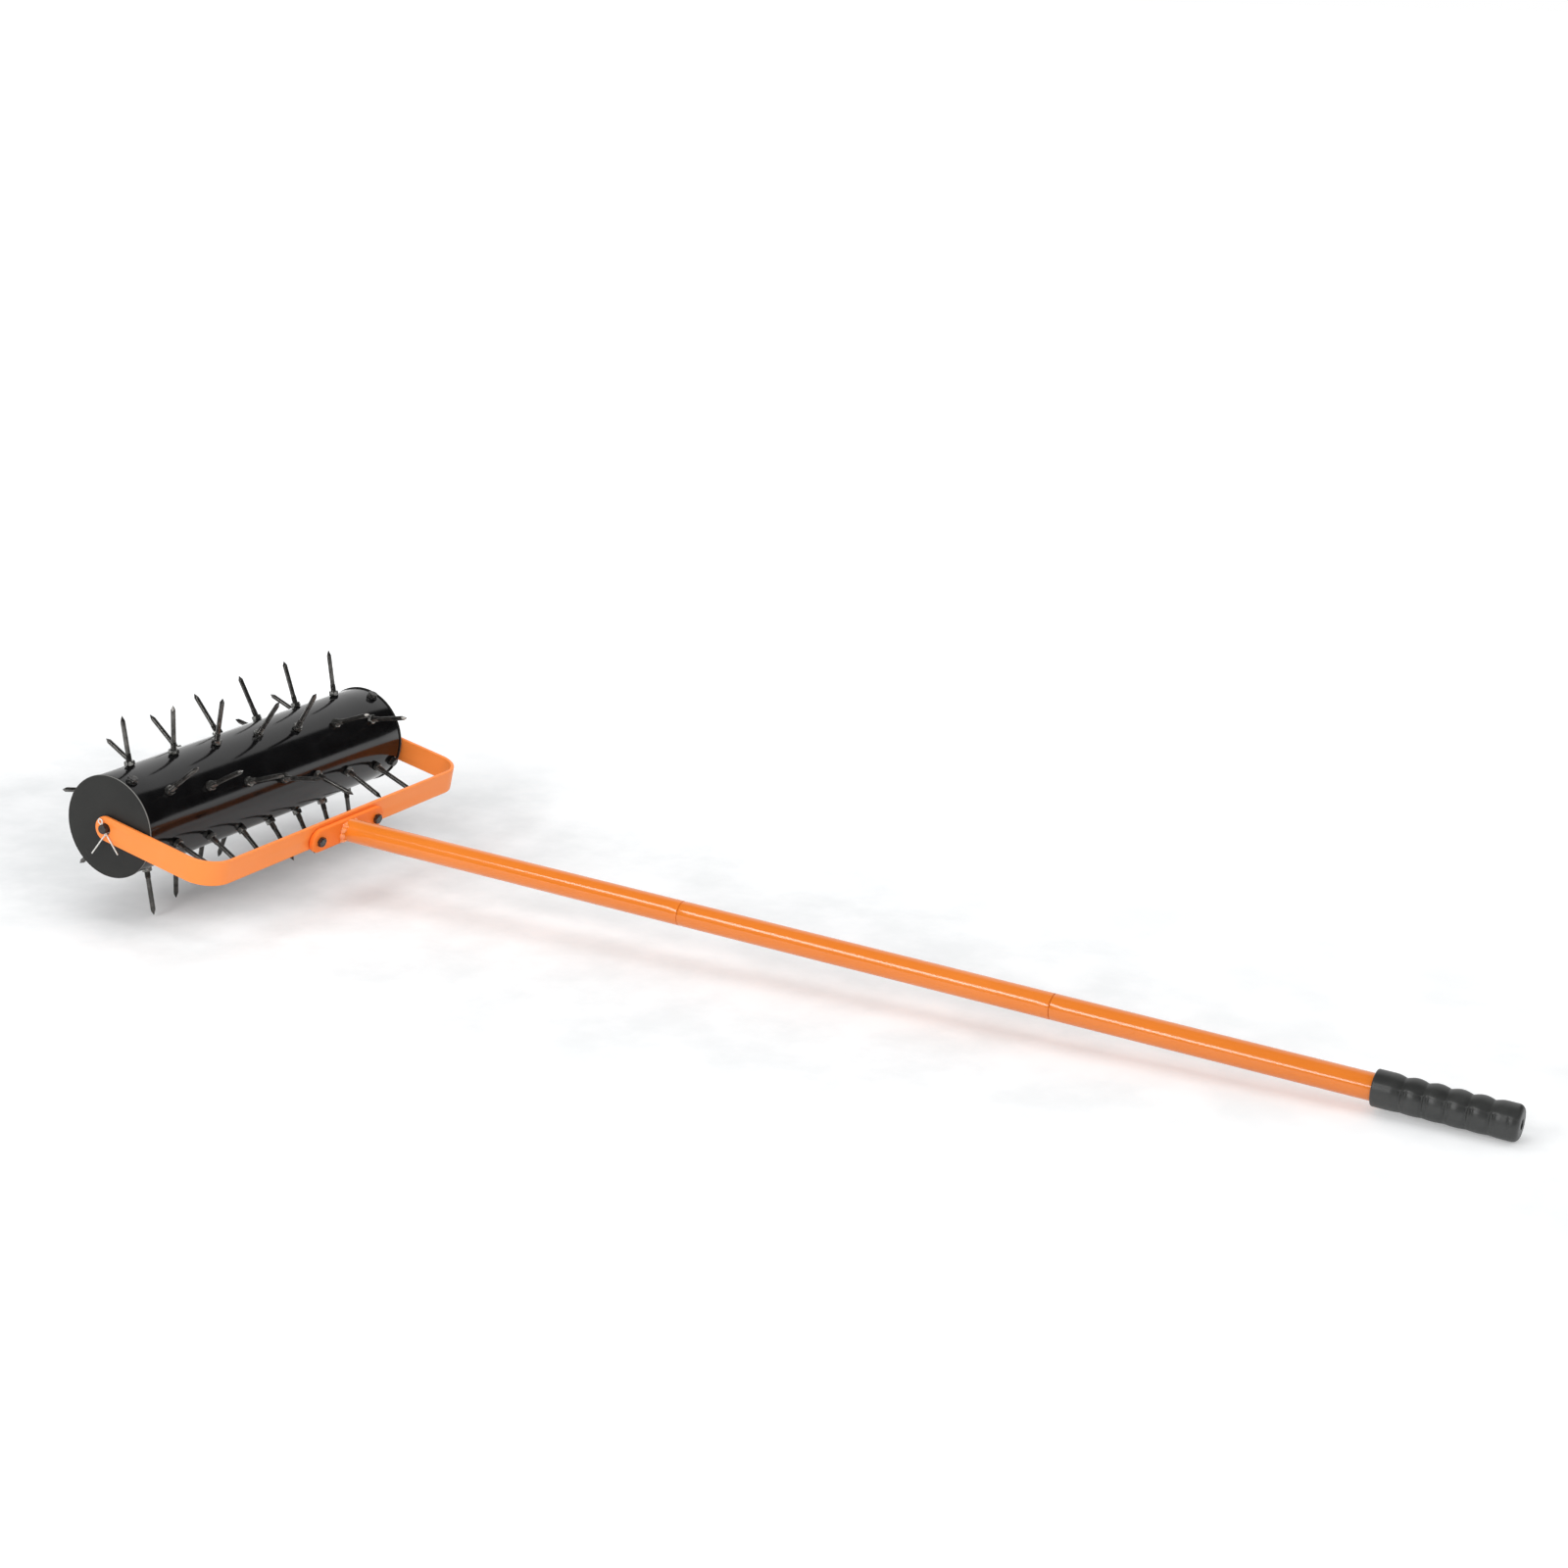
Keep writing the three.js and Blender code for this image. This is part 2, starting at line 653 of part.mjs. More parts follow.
const aerator = new THREE.Group();
aerator.add(drum, yoke);
aerator.position.z = tipRadius;
const extent = new THREE.Box3().setFromObject(aerator, true);
aerator.position.x = -(extent.min.x + extent.max.x) / 2;

const group = new THREE.Group();
group.add(aerator);
group.updateMatrixWorld(true);

export default group;
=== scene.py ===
import json
import math

import bmesh
import bpy
import numpy as np
from mathutils import Matrix, Vector


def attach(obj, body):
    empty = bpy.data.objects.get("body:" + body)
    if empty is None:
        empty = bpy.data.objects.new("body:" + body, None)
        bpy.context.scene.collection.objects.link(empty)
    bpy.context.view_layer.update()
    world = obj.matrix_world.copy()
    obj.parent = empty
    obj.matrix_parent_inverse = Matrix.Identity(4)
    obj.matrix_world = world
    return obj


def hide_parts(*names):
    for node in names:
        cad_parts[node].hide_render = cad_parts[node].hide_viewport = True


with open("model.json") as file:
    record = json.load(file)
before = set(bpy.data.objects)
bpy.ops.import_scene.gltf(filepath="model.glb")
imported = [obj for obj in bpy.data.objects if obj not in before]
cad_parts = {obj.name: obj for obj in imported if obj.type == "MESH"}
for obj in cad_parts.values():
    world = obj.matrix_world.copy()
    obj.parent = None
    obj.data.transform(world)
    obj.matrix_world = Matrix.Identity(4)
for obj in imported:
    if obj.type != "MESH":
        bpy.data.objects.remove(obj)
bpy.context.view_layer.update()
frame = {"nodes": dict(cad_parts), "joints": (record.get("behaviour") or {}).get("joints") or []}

# ---------------------------------------------------------------------------
# Drum shell: a length of thin steel pipe, turned smooth and finished in gloss
# black enamel. Its lip is rounded over. Sizes are in millimetres unless they say
# otherwise, and the frame is in metres.

MM = 0.001
SAME_POINT = 1e-6  # metres within which two corners are one
SHARP = 32  # degrees between two faces from which their edge stays sharp
axle_place = Vector(frame["joints"][0]["pos_m"])
along_axle = Matrix.Translation(axle_place) @ Matrix.Rotation(math.pi / 2, 4, "Z")


def body(name, points, faces, place, material, sharp=SHARP):
    """A closed mesh from points in millimetres, put in its place in the frame."""
    mesh = bpy.data.meshes.new(name)
    mesh.from_pydata([Vector(point) * MM for point in points], [], faces)
    work = bmesh.new()
    work.from_mesh(mesh)
    bmesh.ops.remove_doubles(work, verts=work.verts, dist=SAME_POINT)
    bmesh.ops.recalc_face_normals(work, faces=work.faces)
    work.to_mesh(mesh)
    work.free()
    mesh.transform(place)
    mesh.shade_smooth()
    mesh.set_sharp_from_angle(angle=math.radians(sharp))
    mesh.materials.append(material)
    made = bpy.data.objects.new(name, mesh)
    bpy.context.scene.collection.objects.link(made)
    return made


def loft(rings, closed=False):
    """Points and faces of a skin over rings that have the same number of points."""
    count = len(rings[0])
    points = [point for ring in rings for point in ring]
    faces = []
    for ring in range(len(rings) if closed else len(rings) - 1):
        here, there = ring * count, (ring + 1) % len(rings) * count
        for side in range(count):
            after = (side + 1) % count
            faces.append((here + side, here + after, there + after, there + side))
    return points, faces


def circle(along, radius, sides):
    """A ring round the X axis; the radius may vary with the angle."""
    turns = [2 * math.pi * side / sides for side in range(sides)]
    size = radius if callable(radius) else lambda turn: radius
    return [(along, size(turn) * math.cos(turn), size(turn) * math.sin(turn)) for turn in turns]


def lathe(profile, sides, closed=True):
    """A profile of (place along X, radius) turned round the X axis."""
    return loft([circle(along, radius, sides) for along, radius in profile], closed)


def rounded(along, radius, size, start, end, steps=5):
    """Profile points of a rounded edge about a centre, from one angle to another."""
    arc = np.radians(np.linspace(start, end, steps))
    return [(along + size * math.cos(a), radius + size * math.sin(a)) for a in arc]


class Shade:
    """A value in a material. Arithmetic on it adds Math nodes to the material."""

    def __init__(self, tree, socket):
        self.tree = tree
        self.socket = socket

    def node(self, kind, inputs, output=0, **settings):
        """Adds any node, fills its inputs and gives one of its outputs."""
        made = self.tree.nodes.new(kind)
        for key, value in settings.items():
            setattr(made, key, value)
        for key, value in inputs.items():
            if isinstance(value, Shade):
                self.tree.links.new(value.socket, made.inputs[key])
            else:
                made.inputs[key].default_value = value
        return Shade(self.tree, made.outputs[output])

    def math(self, operation, first, second=0.0):
        return self.node("ShaderNodeMath", {0: first, 1: second}, operation=operation)

    def __add__(self, other): return self.math("ADD", self, other)
    def __radd__(self, other): return self.math("ADD", other, self)
    def __sub__(self, other): return self.math("SUBTRACT", self, other)
    def __rsub__(self, other): return self.math("SUBTRACT", other, self)
    def __mul__(self, other): return self.math("MULTIPLY", self, other)
    def __rmul__(self, other): return self.math("MULTIPLY", other, self)

    def distance(self, point):
        return self.node("ShaderNodeVectorMath", {0: self, 1: point}, 1, operation="DISTANCE")

    def smooth(self, low, high):
        """0 below low, 1 above high, a smooth step between them."""
        return self.node("ShaderNodeMapRange", {0: self, 1: low, 2: high},
                         interpolation_type="SMOOTHSTEP")

    def noise(self, scale, detail=2.0, roughness=0.5):
        return self.node("ShaderNodeTexNoise", {
            "Vector": self, "Scale": scale, "Detail": detail, "Roughness": roughness})

    def blend(self, first, second):
        """Mixes two colours by this value. Sockets 6, 7 and 2 are the colours of the Mix node."""
        return self.node("ShaderNodeMix", {0: self, 6: first, 7: second}, 2, data_type="RGBA")

    def bump(self, strength, distance):
        return self.node("ShaderNodeBump", {
            "Height": self, "Strength": strength, "Distance": distance})

    def to(self, shader, socket):
        self.tree.links.new(self.socket, shader.inputs[socket])


def colour(red, green, blue):
    """A colour given in display values of 0 to 255, as the shader takes it."""
    shares = [part / 255 for part in (red, green, blue)]
    return tuple(s / 12.92 if s <= 0.04045 else ((s + 0.055) / 1.055) ** 2.4 for s in shares) + (1,)


def new_material(name, **steady):
    """A material with its shader, and the Object coordinates that its pattern reads."""
    material = bpy.data.materials.new(name)
    material.use_nodes = True
    tree = material.node_tree
    shader = tree.nodes["Principled BSDF"]
    for socket, value in steady.items():
        shader.inputs[socket.replace("_", " ")].default_value = value
    place = Shade(tree, tree.nodes.new("ShaderNodeTexCoord").outputs["Object"])
    return material, shader, place


enamel, shader, place = new_material("gloss_black_enamel", Specular_IOR_Level=0.45)
mottle = place.noise(38.0, 3.0)
mottle.smooth(0.35, 0.7).blend(colour(12, 12, 13), colour(18, 18, 19)).to(shader, "Base Color")
(0.1 + 0.08 * mottle).to(shader, "Roughness")
place.noise(240.0, 2.0).bump(0.08, 0.0003).to(shader, "Normal")

SHELL_RADIUS = 54.5
SHELL_INNER = 52.0
SHELL_HALF = 214.2
LIP = 0.6
SHELL_SIDES = 160
SHELL_RINGS = np.linspace(-180.0, 180.0, 7)
shell_profile = [
    (-SHELL_HALF, SHELL_INNER),
    *rounded(-SHELL_HALF + LIP, SHELL_RADIUS - LIP, LIP, 180, 90),
    *[(along, SHELL_RADIUS) for along in SHELL_RINGS],
    *rounded(SHELL_HALF - LIP, SHELL_RADIUS - LIP, LIP, 90, 0),
    (SHELL_HALF, SHELL_INNER),
]
shell = body("enamelled_shell", *lathe(shell_profile, SHELL_SIDES), along_axle, enamel)
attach(shell, "drum")
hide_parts("drum_shell")

# ---------------------------------------------------------------------------
# End caps: flat pressed discs a little wider than the shell, with a rolled edge
# and a skirt that slides into the shell. Matt dark powder coat, with a pale line
# painted along the rim as a highlight.

CAP_FACE = 217.0
CAP_RADIUS = 55.5
CAP_THICKNESS = 2.5
CAP_BORE = 5.3
CAP_SKIRT = (49.7, 51.7, 22.0)  # inner radius, outer radius, depth
CAP_EDGE = 0.9
CAP_EASE = 0.3
CAP_FACE_RINGS = (40.0, 20.0)
CAP_SIDES = 128
RIM_HIGHLIGHT = (0.0551, 0.0554)  # metres from the axle where the painted rim highlight starts and is full
FACE_HIGHLIGHT = (0.2154, 0.2158)  # the same, in metres along the axle from the drum's middle
DRUM_ENDS = {"left": math.pi, "right": 0.0}  # turn about the axle's X that each end takes

cap_coat, shader, place = new_material("matt_cap_coat", Specular_IOR_Level=0.3)
grain = place.noise(900.0, 3.0, 0.6)
wear = place.noise(26.0, 4.0)
coat = wear.smooth(0.3, 0.75).blend(colour(34, 34, 33), colour(40, 40, 38))
flat = place.node("ShaderNodeVectorMath", {0: place, 1: (1.0, 0.0, 1.0)}, operation="MULTIPLY")
rim = flat.distance((axle_place.x, 0.0, axle_place.z))
along = place.node("ShaderNodeSeparateXYZ", {0: place}, 1)
front = along.math("ABSOLUTE", along)
# A pale line painted along the rim and the face's edge stands in for a highlight on the rolled edge.
painted_rim_highlight = rim.smooth(*RIM_HIGHLIGHT) * front.smooth(*FACE_HIGHLIGHT)
painted_rim_highlight.blend(coat, colour(128, 127, 124)).to(shader, "Base Color")
(0.5 + 0.16 * grain).to(shader, "Roughness")
grain.bump(0.25, 0.0002).to(shader, "Normal")

back = CAP_FACE - CAP_THICKNESS
inner, outer, depth = CAP_SKIRT
cap_profile = [
    (back, CAP_BORE),
    (back, inner),
    (back - depth, inner),
    (back - depth, outer),
    (back, outer),
    *rounded(back + CAP_EASE, CAP_RADIUS - CAP_EASE, CAP_EASE, 180, 90, 3),
    *rounded(CAP_FACE - CAP_EDGE, CAP_RADIUS - CAP_EDGE, CAP_EDGE, 90, 0, 6),
    *[(CAP_FACE, radius) for radius in CAP_FACE_RINGS],
    *rounded(CAP_FACE - CAP_EASE, CAP_BORE + CAP_EASE, CAP_EASE, 90, 180, 3),
]


def drum_end(turn):
    """The place of a lathed piece at one end of the drum: its X runs outwards along the axle."""
    seat = Matrix.Translation(axle_place) @ Matrix.Rotation(turn, 4, "X")
    return seat @ Matrix.Rotation(math.pi / 2, 4, "Z")


for side, turn in DRUM_ENDS.items():
    name = side + "_end_cap"
    cap = body("pressed_" + name, *lathe(cap_profile, CAP_SIDES), drum_end(turn), cap_coat)
    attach(cap, "drum")
    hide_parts(name)

# ---------------------------------------------------------------------------
# Cap bolts: four M6 hexagon bolts at each end on dark washers, screwed through
# the shell into the caps. One bolt is made and repeated with Geometry Nodes.

HEX_FLATS = 10.0
HEX_SIDES = 48
HEX_CONE = 0.47  # radius of the face inside the turned corners, as a share of the flats
HEX_CONE_SPREAD = 1.75  # by how much the cone widens for its height
HEX_DROPS = (0.0, 0.12, 0.24, 0.36, 0.5, 0.7)  # depths of the rings below the face


def hexagon(foot, height, foot_chamfer=False):
    """Rings of a hexagon head or nut along X, whose corners are turned to a cone."""
    def edge(turn):
        return HEX_FLATS / 2 / math.cos((turn + math.pi / 6) % (math.pi / 3) - math.pi / 6)

    def cone(drop):
        return lambda turn: min(edge(turn), HEX_CONE * HEX_FLATS + drop * HEX_CONE_SPREAD)

    top = foot + height
    rings = [circle(top - drop, cone(drop), HEX_SIDES) for drop in reversed(HEX_DROPS)]
    if foot_chamfer:
        rings = [circle(foot + drop, cone(drop), HEX_SIDES) for drop in HEX_DROPS] + rings
    else:
        rings = [circle(foot, 0.0, HEX_SIDES), circle(foot, edge, HEX_SIDES)] + rings
    return rings


def joined(*parts):
    """Several sets of points and faces as one set."""
    points, faces = [], []
    for some_points, some_faces in parts:
        faces += [tuple(corner + len(points) for corner in face) for face in some_faces]
        points += some_points
    return points, faces


def repeat(name, template, places, material, seed, swing):
    """Puts the template at every place with Geometry Nodes and gives one plain mesh.
    A place is (point, direction that the template's X takes); each is rolled by chance."""
    points = bpy.data.meshes.new(name + "_places")
    points.from_pydata([point for point, _ in places], [], [])
    turn = points.attributes.new("turn", "FLOAT_VECTOR", "POINT")
    for index, (_, direction) in enumerate(places):
        turn.data[index].vector = direction.to_track_quat("X", "Z").to_euler()
    holder = bpy.data.objects.new(name, points)
    bpy.context.scene.collection.objects.link(holder)
    tree = bpy.data.node_groups.new(name + "_repeat", "GeometryNodeTree")
    sockets = {}
    for label, kind, way in (
        ("Places", "NodeSocketGeometry", "INPUT"), ("Template", "NodeSocketObject", "INPUT"),
        ("Finish", "NodeSocketMaterial", "INPUT"), ("Swing", "NodeSocketFloat", "INPUT"),
        ("Seed", "NodeSocketInt", "INPUT"), ("Geometry", "NodeSocketGeometry", "OUTPUT"),
    ):
        socket = tree.interface.new_socket(label, in_out=way, socket_type=kind)
        sockets[label] = socket.identifier
    link, node = tree.links.new, tree.nodes.new
    given, result = node("NodeGroupInput"), node("NodeGroupOutput")
    template_info = node("GeometryNodeObjectInfo")
    link(given.outputs["Template"], template_info.inputs["Object"])
    facing = node("GeometryNodeInputNamedAttribute")
    facing.data_type = "FLOAT_VECTOR"
    facing.inputs["Name"].default_value = "turn"
    base = node("FunctionNodeEulerToRotation")
    link(facing.outputs["Attribute"], base.inputs[0])
    lowest = node("ShaderNodeMath")
    lowest.operation = "MULTIPLY"
    lowest.inputs[1].default_value = -1.0
    link(given.outputs["Swing"], lowest.inputs[0])
    chance = node("FunctionNodeRandomValue")
    chance.data_type = "FLOAT"
    link(lowest.outputs[0], chance.inputs[2])
    link(given.outputs["Swing"], chance.inputs[3])
    link(given.outputs["Seed"], chance.inputs["Seed"])
    roll = node("ShaderNodeCombineXYZ")
    link(chance.outputs[1], roll.inputs["X"])
    rolled = node("FunctionNodeEulerToRotation")
    link(roll.outputs[0], rolled.inputs[0])
    both = node("FunctionNodeRotateRotation")
    both.rotation_space = "LOCAL"
    link(base.outputs[0], both.inputs[0])
    link(rolled.outputs[0], both.inputs[1])
    instances = node("GeometryNodeInstanceOnPoints")
    link(given.outputs["Places"], instances.inputs["Points"])
    link(template_info.outputs["Geometry"], instances.inputs["Instance"])
    link(both.outputs[0], instances.inputs["Rotation"])
    real = node("GeometryNodeRealizeInstances")
    link(instances.outputs[0], real.inputs[0])
    finished = node("GeometryNodeSetMaterial")
    link(real.outputs[0], finished.inputs["Geometry"])
    link(given.outputs["Finish"], finished.inputs["Material"])
    link(finished.outputs[0], result.inputs[0])
    modifier = holder.modifiers.new("repeat", "NODES")
    modifier.node_group = tree
    modifier[sockets["Template"]] = template
    modifier[sockets["Finish"]] = material
    modifier[sockets["Swing"]] = swing
    modifier[sockets["Seed"]] = seed
    bpy.context.view_layer.update()
    evaluated = holder.evaluated_get(bpy.context.evaluated_depsgraph_get())
    mesh = bpy.data.meshes.new_from_object(evaluated)
    holder.modifiers.remove(modifier)
    holder.data = mesh
    bpy.data.objects.remove(template)
    return holder


black_zinc, shader, place = new_material("black_fastener_finish", Metallic=0.8)
dulled = place.noise(420.0, 3.0)
dulled.smooth(0.3, 0.8).blend(colour(58, 58, 58), colour(108, 107, 105)).to(shader, "Base Color")
(0.14 + 0.18 * dulled).to(shader, "Roughness")

BOLT_SEAT = 54.8
BOLT_INSET = 12.0
BOLT_TURN = 65  # degrees up from the handle's side to the first bolt
BOLT_WASHER = (6.2, 1.2, 0.2)  # radius, height, edge
BOLT_WASHER_SIDES = 32
BOLT_HEAD = 4.0
BOLT_CROWN = 3.9
BOLT_SEED = 4
BOLT_SWING = 0.5  # radians to either side by which chance rolls a bolt

radius, height, ease_off = BOLT_WASHER
washer = lathe([(0.0, 0.0), (0.0, radius - ease_off), (ease_off, radius), (height - ease_off, radius),
                (height, radius - ease_off), (height, 0.0)], BOLT_WASHER_SIDES, False)
crown = [circle(height + BOLT_HEAD, size, HEX_SIDES) for size in (BOLT_CROWN, 0.0)]
head = loft(hexagon(height, BOLT_HEAD) + crown)
template = body("cap_bolt", *joined(washer, head), Matrix.Identity(4), black_zinc)
places = []
for side in (-1, 1):
    for turn in range(BOLT_TURN, BOLT_TURN + 360, 90):
        out = Vector((math.cos(math.radians(turn)), 0.0, math.sin(math.radians(turn))))
        inset = Vector((0.0, side * (CAP_FACE - BOLT_INSET), 0.0))
        places.append((axle_place + (out * BOLT_SEAT + inset) * MM, out))
cap_bolts = repeat("cap_bolts", template, places, black_zinc, BOLT_SEED, BOLT_SWING)
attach(cap_bolts, "drum")

# ---------------------------------------------------------------------------
# Axle rod: a length of dark bar with turned ends that show outside the yoke.
# A thin zinc washer keeps each cap off the yoke.

AXLE_RADIUS = 5.0
AXLE_HALF = 228.3
AXLE_ROUND = 0.9
AXLE_SIDES = 40

bar_steel, shader, place = new_material("dark_bar_steel", Metallic=0.6)
rolled_scale = place.noise(300.0, 4.0)
rolled_scale.smooth(0.3, 0.75).blend(colour(52, 50, 50), colour(80, 75, 72)).to(shader, "Base Color")
(0.38 + 0.2 * rolled_scale).to(shader, "Roughness")
rolled_scale.bump(0.3, 0.0002).to(shader, "Normal")

axle_profile = [
    (-AXLE_HALF, 0.0),
    *rounded(-AXLE_HALF + AXLE_ROUND, AXLE_RADIUS - AXLE_ROUND, AXLE_ROUND, 180, 90),
    *rounded(AXLE_HALF - AXLE_ROUND, AXLE_RADIUS - AXLE_ROUND, AXLE_ROUND, 90, 0),
    (AXLE_HALF, 0.0),
]
axle = body("axle_rod", *lathe(axle_profile, AXLE_SIDES, False), along_axle, bar_steel)
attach(axle, "drum")
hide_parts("axle")

zinc, shader, place = new_material("bright_zinc", Metallic=0.25)
spangle = place.noise(260.0, 3.0)
spangle.smooth(0.3, 0.8).blend(colour(216, 214, 208), colour(238, 237, 233)).to(shader, "Base Color")
(0.22 + 0.16 * spangle).to(shader, "Roughness")

THRUST_WASHER = (217.3, 218.5, 5.3, 10.0)  # inner face, outer face, bore, radius
THRUST_EDGE = 0.2
THRUST_SIDES = 48
foot, top, hole, rim = THRUST_WASHER
washer_profile = [(foot, hole), (foot, rim - THRUST_EDGE), (foot + THRUST_EDGE, rim),
                  (top - THRUST_EDGE, rim), (top, rim - THRUST_EDGE), (top, hole)]
for side, turn in DRUM_ENDS.items():
    name = side + "_thrust_washer"
    washer = body("turned_" + name, *lathe(washer_profile, THRUST_SIDES), drum_end(turn), zinc)
    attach(washer, "drum")
    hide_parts(name)

# ---------------------------------------------------------------------------
# Split pins: one bright wire each, folded to an eye above the axle; its two
# legs pass through the axle's end and are bent apart below it.

PIN_WIRE = 0.75
PIN_EYE = 2.6
PIN_MOUTH = 6.2
PIN_OFFSET = 0.92
PIN_LEGS = ((24.5, 10.5), (30.0, 64.5))  # length of each leg and its splay in degrees
PIN_LEG_BENDS = (1.0, 0.55, 1 / 6)  # shares of a leg's length at which it is drawn
PIN_TURN = 115  # degrees up from the handle's side to the eye
PIN_PLACE = 225.4
PIN_STEPS = 10
PIN_SHARP = 50


def pin_leg(side, length, spread):
    """Points from a leg's end up through the axle to the side of the eye. X is up the pin."""
    away = math.radians(spread)
    direction = Vector((-math.cos(away), 0.0, side * math.sin(away)))
    neck = Vector((-PIN_MOUTH, 0.0, side * PIN_OFFSET))
    return [*(neck + direction * length * share for share in PIN_LEG_BENDS), neck,
            Vector((0.0, 0.0, side * PIN_OFFSET)), Vector((AXLE_RADIUS, 0.0, side * PIN_OFFSET)),
            Vector((PIN_MOUTH + PIN_EYE, 0.0, side * PIN_EYE))]


def through(points, steps):
    """A smooth line through points, as a centripetal Catmull-Rom curve."""
    points = [2 * points[0] - points[1], *points, 2 * points[-1] - points[-2]]
    line = []
    for before, start, end, after in zip(points, points[1:], points[2:], points[3:]):
        knots = [0.0]
        for a, b in ((before, start), (start, end), (end, after)):
            knots.append(knots[-1] + math.sqrt((b - a).length))
        for step in range(steps):
            t = knots[1] + (knots[2] - knots[1]) * step / steps
            a, b, c = (p + (q - p) * ((t - k) / (m - k)) for p, q, k, m in (
                (before, start, knots[0], knots[1]), (start, end, knots[1], knots[2]),
                (end, after, knots[2], knots[3])))
            d = a + (b - a) * ((t - knots[0]) / (knots[2] - knots[0]))
            e = b + (c - b) * ((t - knots[1]) / (knots[3] - knots[1]))
            line.append(d + (e - d) * ((t - knots[1]) / (knots[2] - knots[1])))
    return line + [points[-2]]


def plain_lists(mesh):
    """The points and the faces of a mesh."""
    return [v.co.copy() for v in mesh.vertices], [tuple(f.vertices) for f in mesh.polygons]


for name, along in (("left_split_pin", -PIN_PLACE), ("right_split_pin", PIN_PLACE)):
    short, long = PIN_LEGS
    eye_top = Vector((PIN_MOUTH + 2 * PIN_EYE, 0.0, 0.0))
    route = pin_leg(-1, *short) + [eye_top] + pin_leg(1, *long)[::-1]
    seat = Matrix.Translation(axle_place) @ Matrix.Translation((0.0, along * MM, 0.0))
    seat = seat @ Matrix.Rotation(-math.radians(PIN_TURN), 4, "Y")
    curve = bpy.data.curves.new(name + "_wire", "CURVE")
    curve.dimensions = "3D"
    curve.bevel_depth = PIN_WIRE
    curve.bevel_resolution = 4
    curve.use_fill_caps = True
    line = through(route, PIN_STEPS)
    spline = curve.splines.new("POLY")
    spline.points.add(len(line) - 1)
    for point, at in zip(spline.points, line):
        point.co = (*at, 1.0)
    wire = bpy.data.objects.new(name + "_wire", curve)
    bpy.context.scene.collection.objects.link(wire)
    bpy.context.view_layer.update()
    mesh = bpy.data.meshes.new_from_object(wire)
    bpy.data.objects.remove(wire)
    points, faces = plain_lists(mesh)
    pin = body("bent_" + name, points, faces, seat, zinc, PIN_SHARP)
    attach(pin, "drum")
    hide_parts(name)

# ---------------------------------------------------------------------------
# Tines: blackened steel rods with a rolled thread at the foot and a ground
# four-sided point. One rod is made and repeated at the seats of the frame's tines.

TINE_REACH = 54.1
TINE_TAIL = -8.5
TINE_THREAD = 13.5
TINE_CREST = 3.2
TINE_ROOT = 2.65
TINE_ROD = 2.6
TINE_SHOULDER = 1.2
TINE_POINT = 7.0
TINE_LAST_RING = 38.0  # keeps the shading of the point off the plain rod
TINE_POINT_RINGS = (0.93, 0.86, 0.79, 0.7071, 0.4, 0.12)  # shares of the point's length, from its end
TINE_BLUNT = 0.05
THREAD_PITCH = 1.25
THREAD_RINGS = 5
THREAD_SHAPE = 0.7
TINE_SIDES = 24
TINE_SHARP = 40
TINE_SEED = 7
FULL_SWING = 3.1  # radians to either side: a tine or a nut is screwed in at any roll
TAIL_BAND = 0.00005  # metres within which corners belong to the tine's tail


def tine_ring(along):
    """One ring of the rod: threaded, then plain, then flattened to its point."""
    def size(turn):
        if along > TINE_THREAD + TINE_SHOULDER:
            flat = TINE_ROD * (TINE_REACH - along) / TINE_POINT
            return min(TINE_ROD, flat / max(abs(math.cos(turn)), abs(math.sin(turn))))
        groove = 0.5 + 0.5 * math.cos(2 * math.pi * along / THREAD_PITCH - turn)
        fade = min(max((TINE_THREAD - along) / THREAD_PITCH, 0.0), 1.0)
        thread = TINE_ROOT - TINE_ROD + (TINE_CREST - TINE_ROOT) * groove ** THREAD_SHAPE
        return TINE_ROD + fade * thread
    return circle(along, size, TINE_SIDES)


stations = [*np.arange(TINE_TAIL, TINE_THREAD, THREAD_PITCH / THREAD_RINGS), TINE_THREAD,
            TINE_THREAD + TINE_SHOULDER / 2, TINE_THREAD + TINE_SHOULDER, TINE_LAST_RING,
            TINE_REACH - TINE_POINT, *(TINE_REACH - TINE_POINT * share for share in TINE_POINT_RINGS)]
rings = [circle(TINE_TAIL, 0.0, TINE_SIDES)] + [tine_ring(along) for along in stations]
rings.append(circle(TINE_REACH - TINE_POINT * TINE_BLUNT, 0.0, TINE_SIDES))

tine_steel, shader, place = new_material("blackened_tine_steel", Metallic=0.8)
scale = place.noise(170.0, 4.0, 0.6)
scale.smooth(0.3, 0.75).blend(colour(66, 65, 63), colour(104, 102, 99)).to(shader, "Base Color")
(0.16 + 0.16 * scale).to(shader, "Roughness")
place.noise(800.0, 2.0).bump(0.2, 0.0002).to(shader, "Normal")

tine_names = sorted(name for name in frame["nodes"] if name.startswith("tine_"))
tine_seats = []
for name in tine_names:
    corners = np.array([v.co for v in frame["nodes"][name].data.vertices])
    axis_distance = np.hypot(corners[:, 0] - axle_place.x, corners[:, 2] - axle_place.z)
    tip = corners[axis_distance.argmax()]
    far = np.linalg.norm(corners - tip, axis=1)
    tail = corners[far > far.max() - TAIL_BAND].mean(axis=0)
    direction = Vector(tip - tail).normalized()
    tine_seats.append((Vector(tip) - direction * TINE_REACH * MM, direction))
template = body("tine", *loft(rings), Matrix.Identity(4), tine_steel, TINE_SHARP)
tines = repeat("tines", template, tine_seats, tine_steel, TINE_SEED, FULL_SWING)
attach(tines, "drum")
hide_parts(*tine_names)

# ---------------------------------------------------------------------------
# Tine nuts: oiled black steel hexagon nuts, chamfered on both faces, that clamp
# each tine to the shell's wall from outside and from inside.

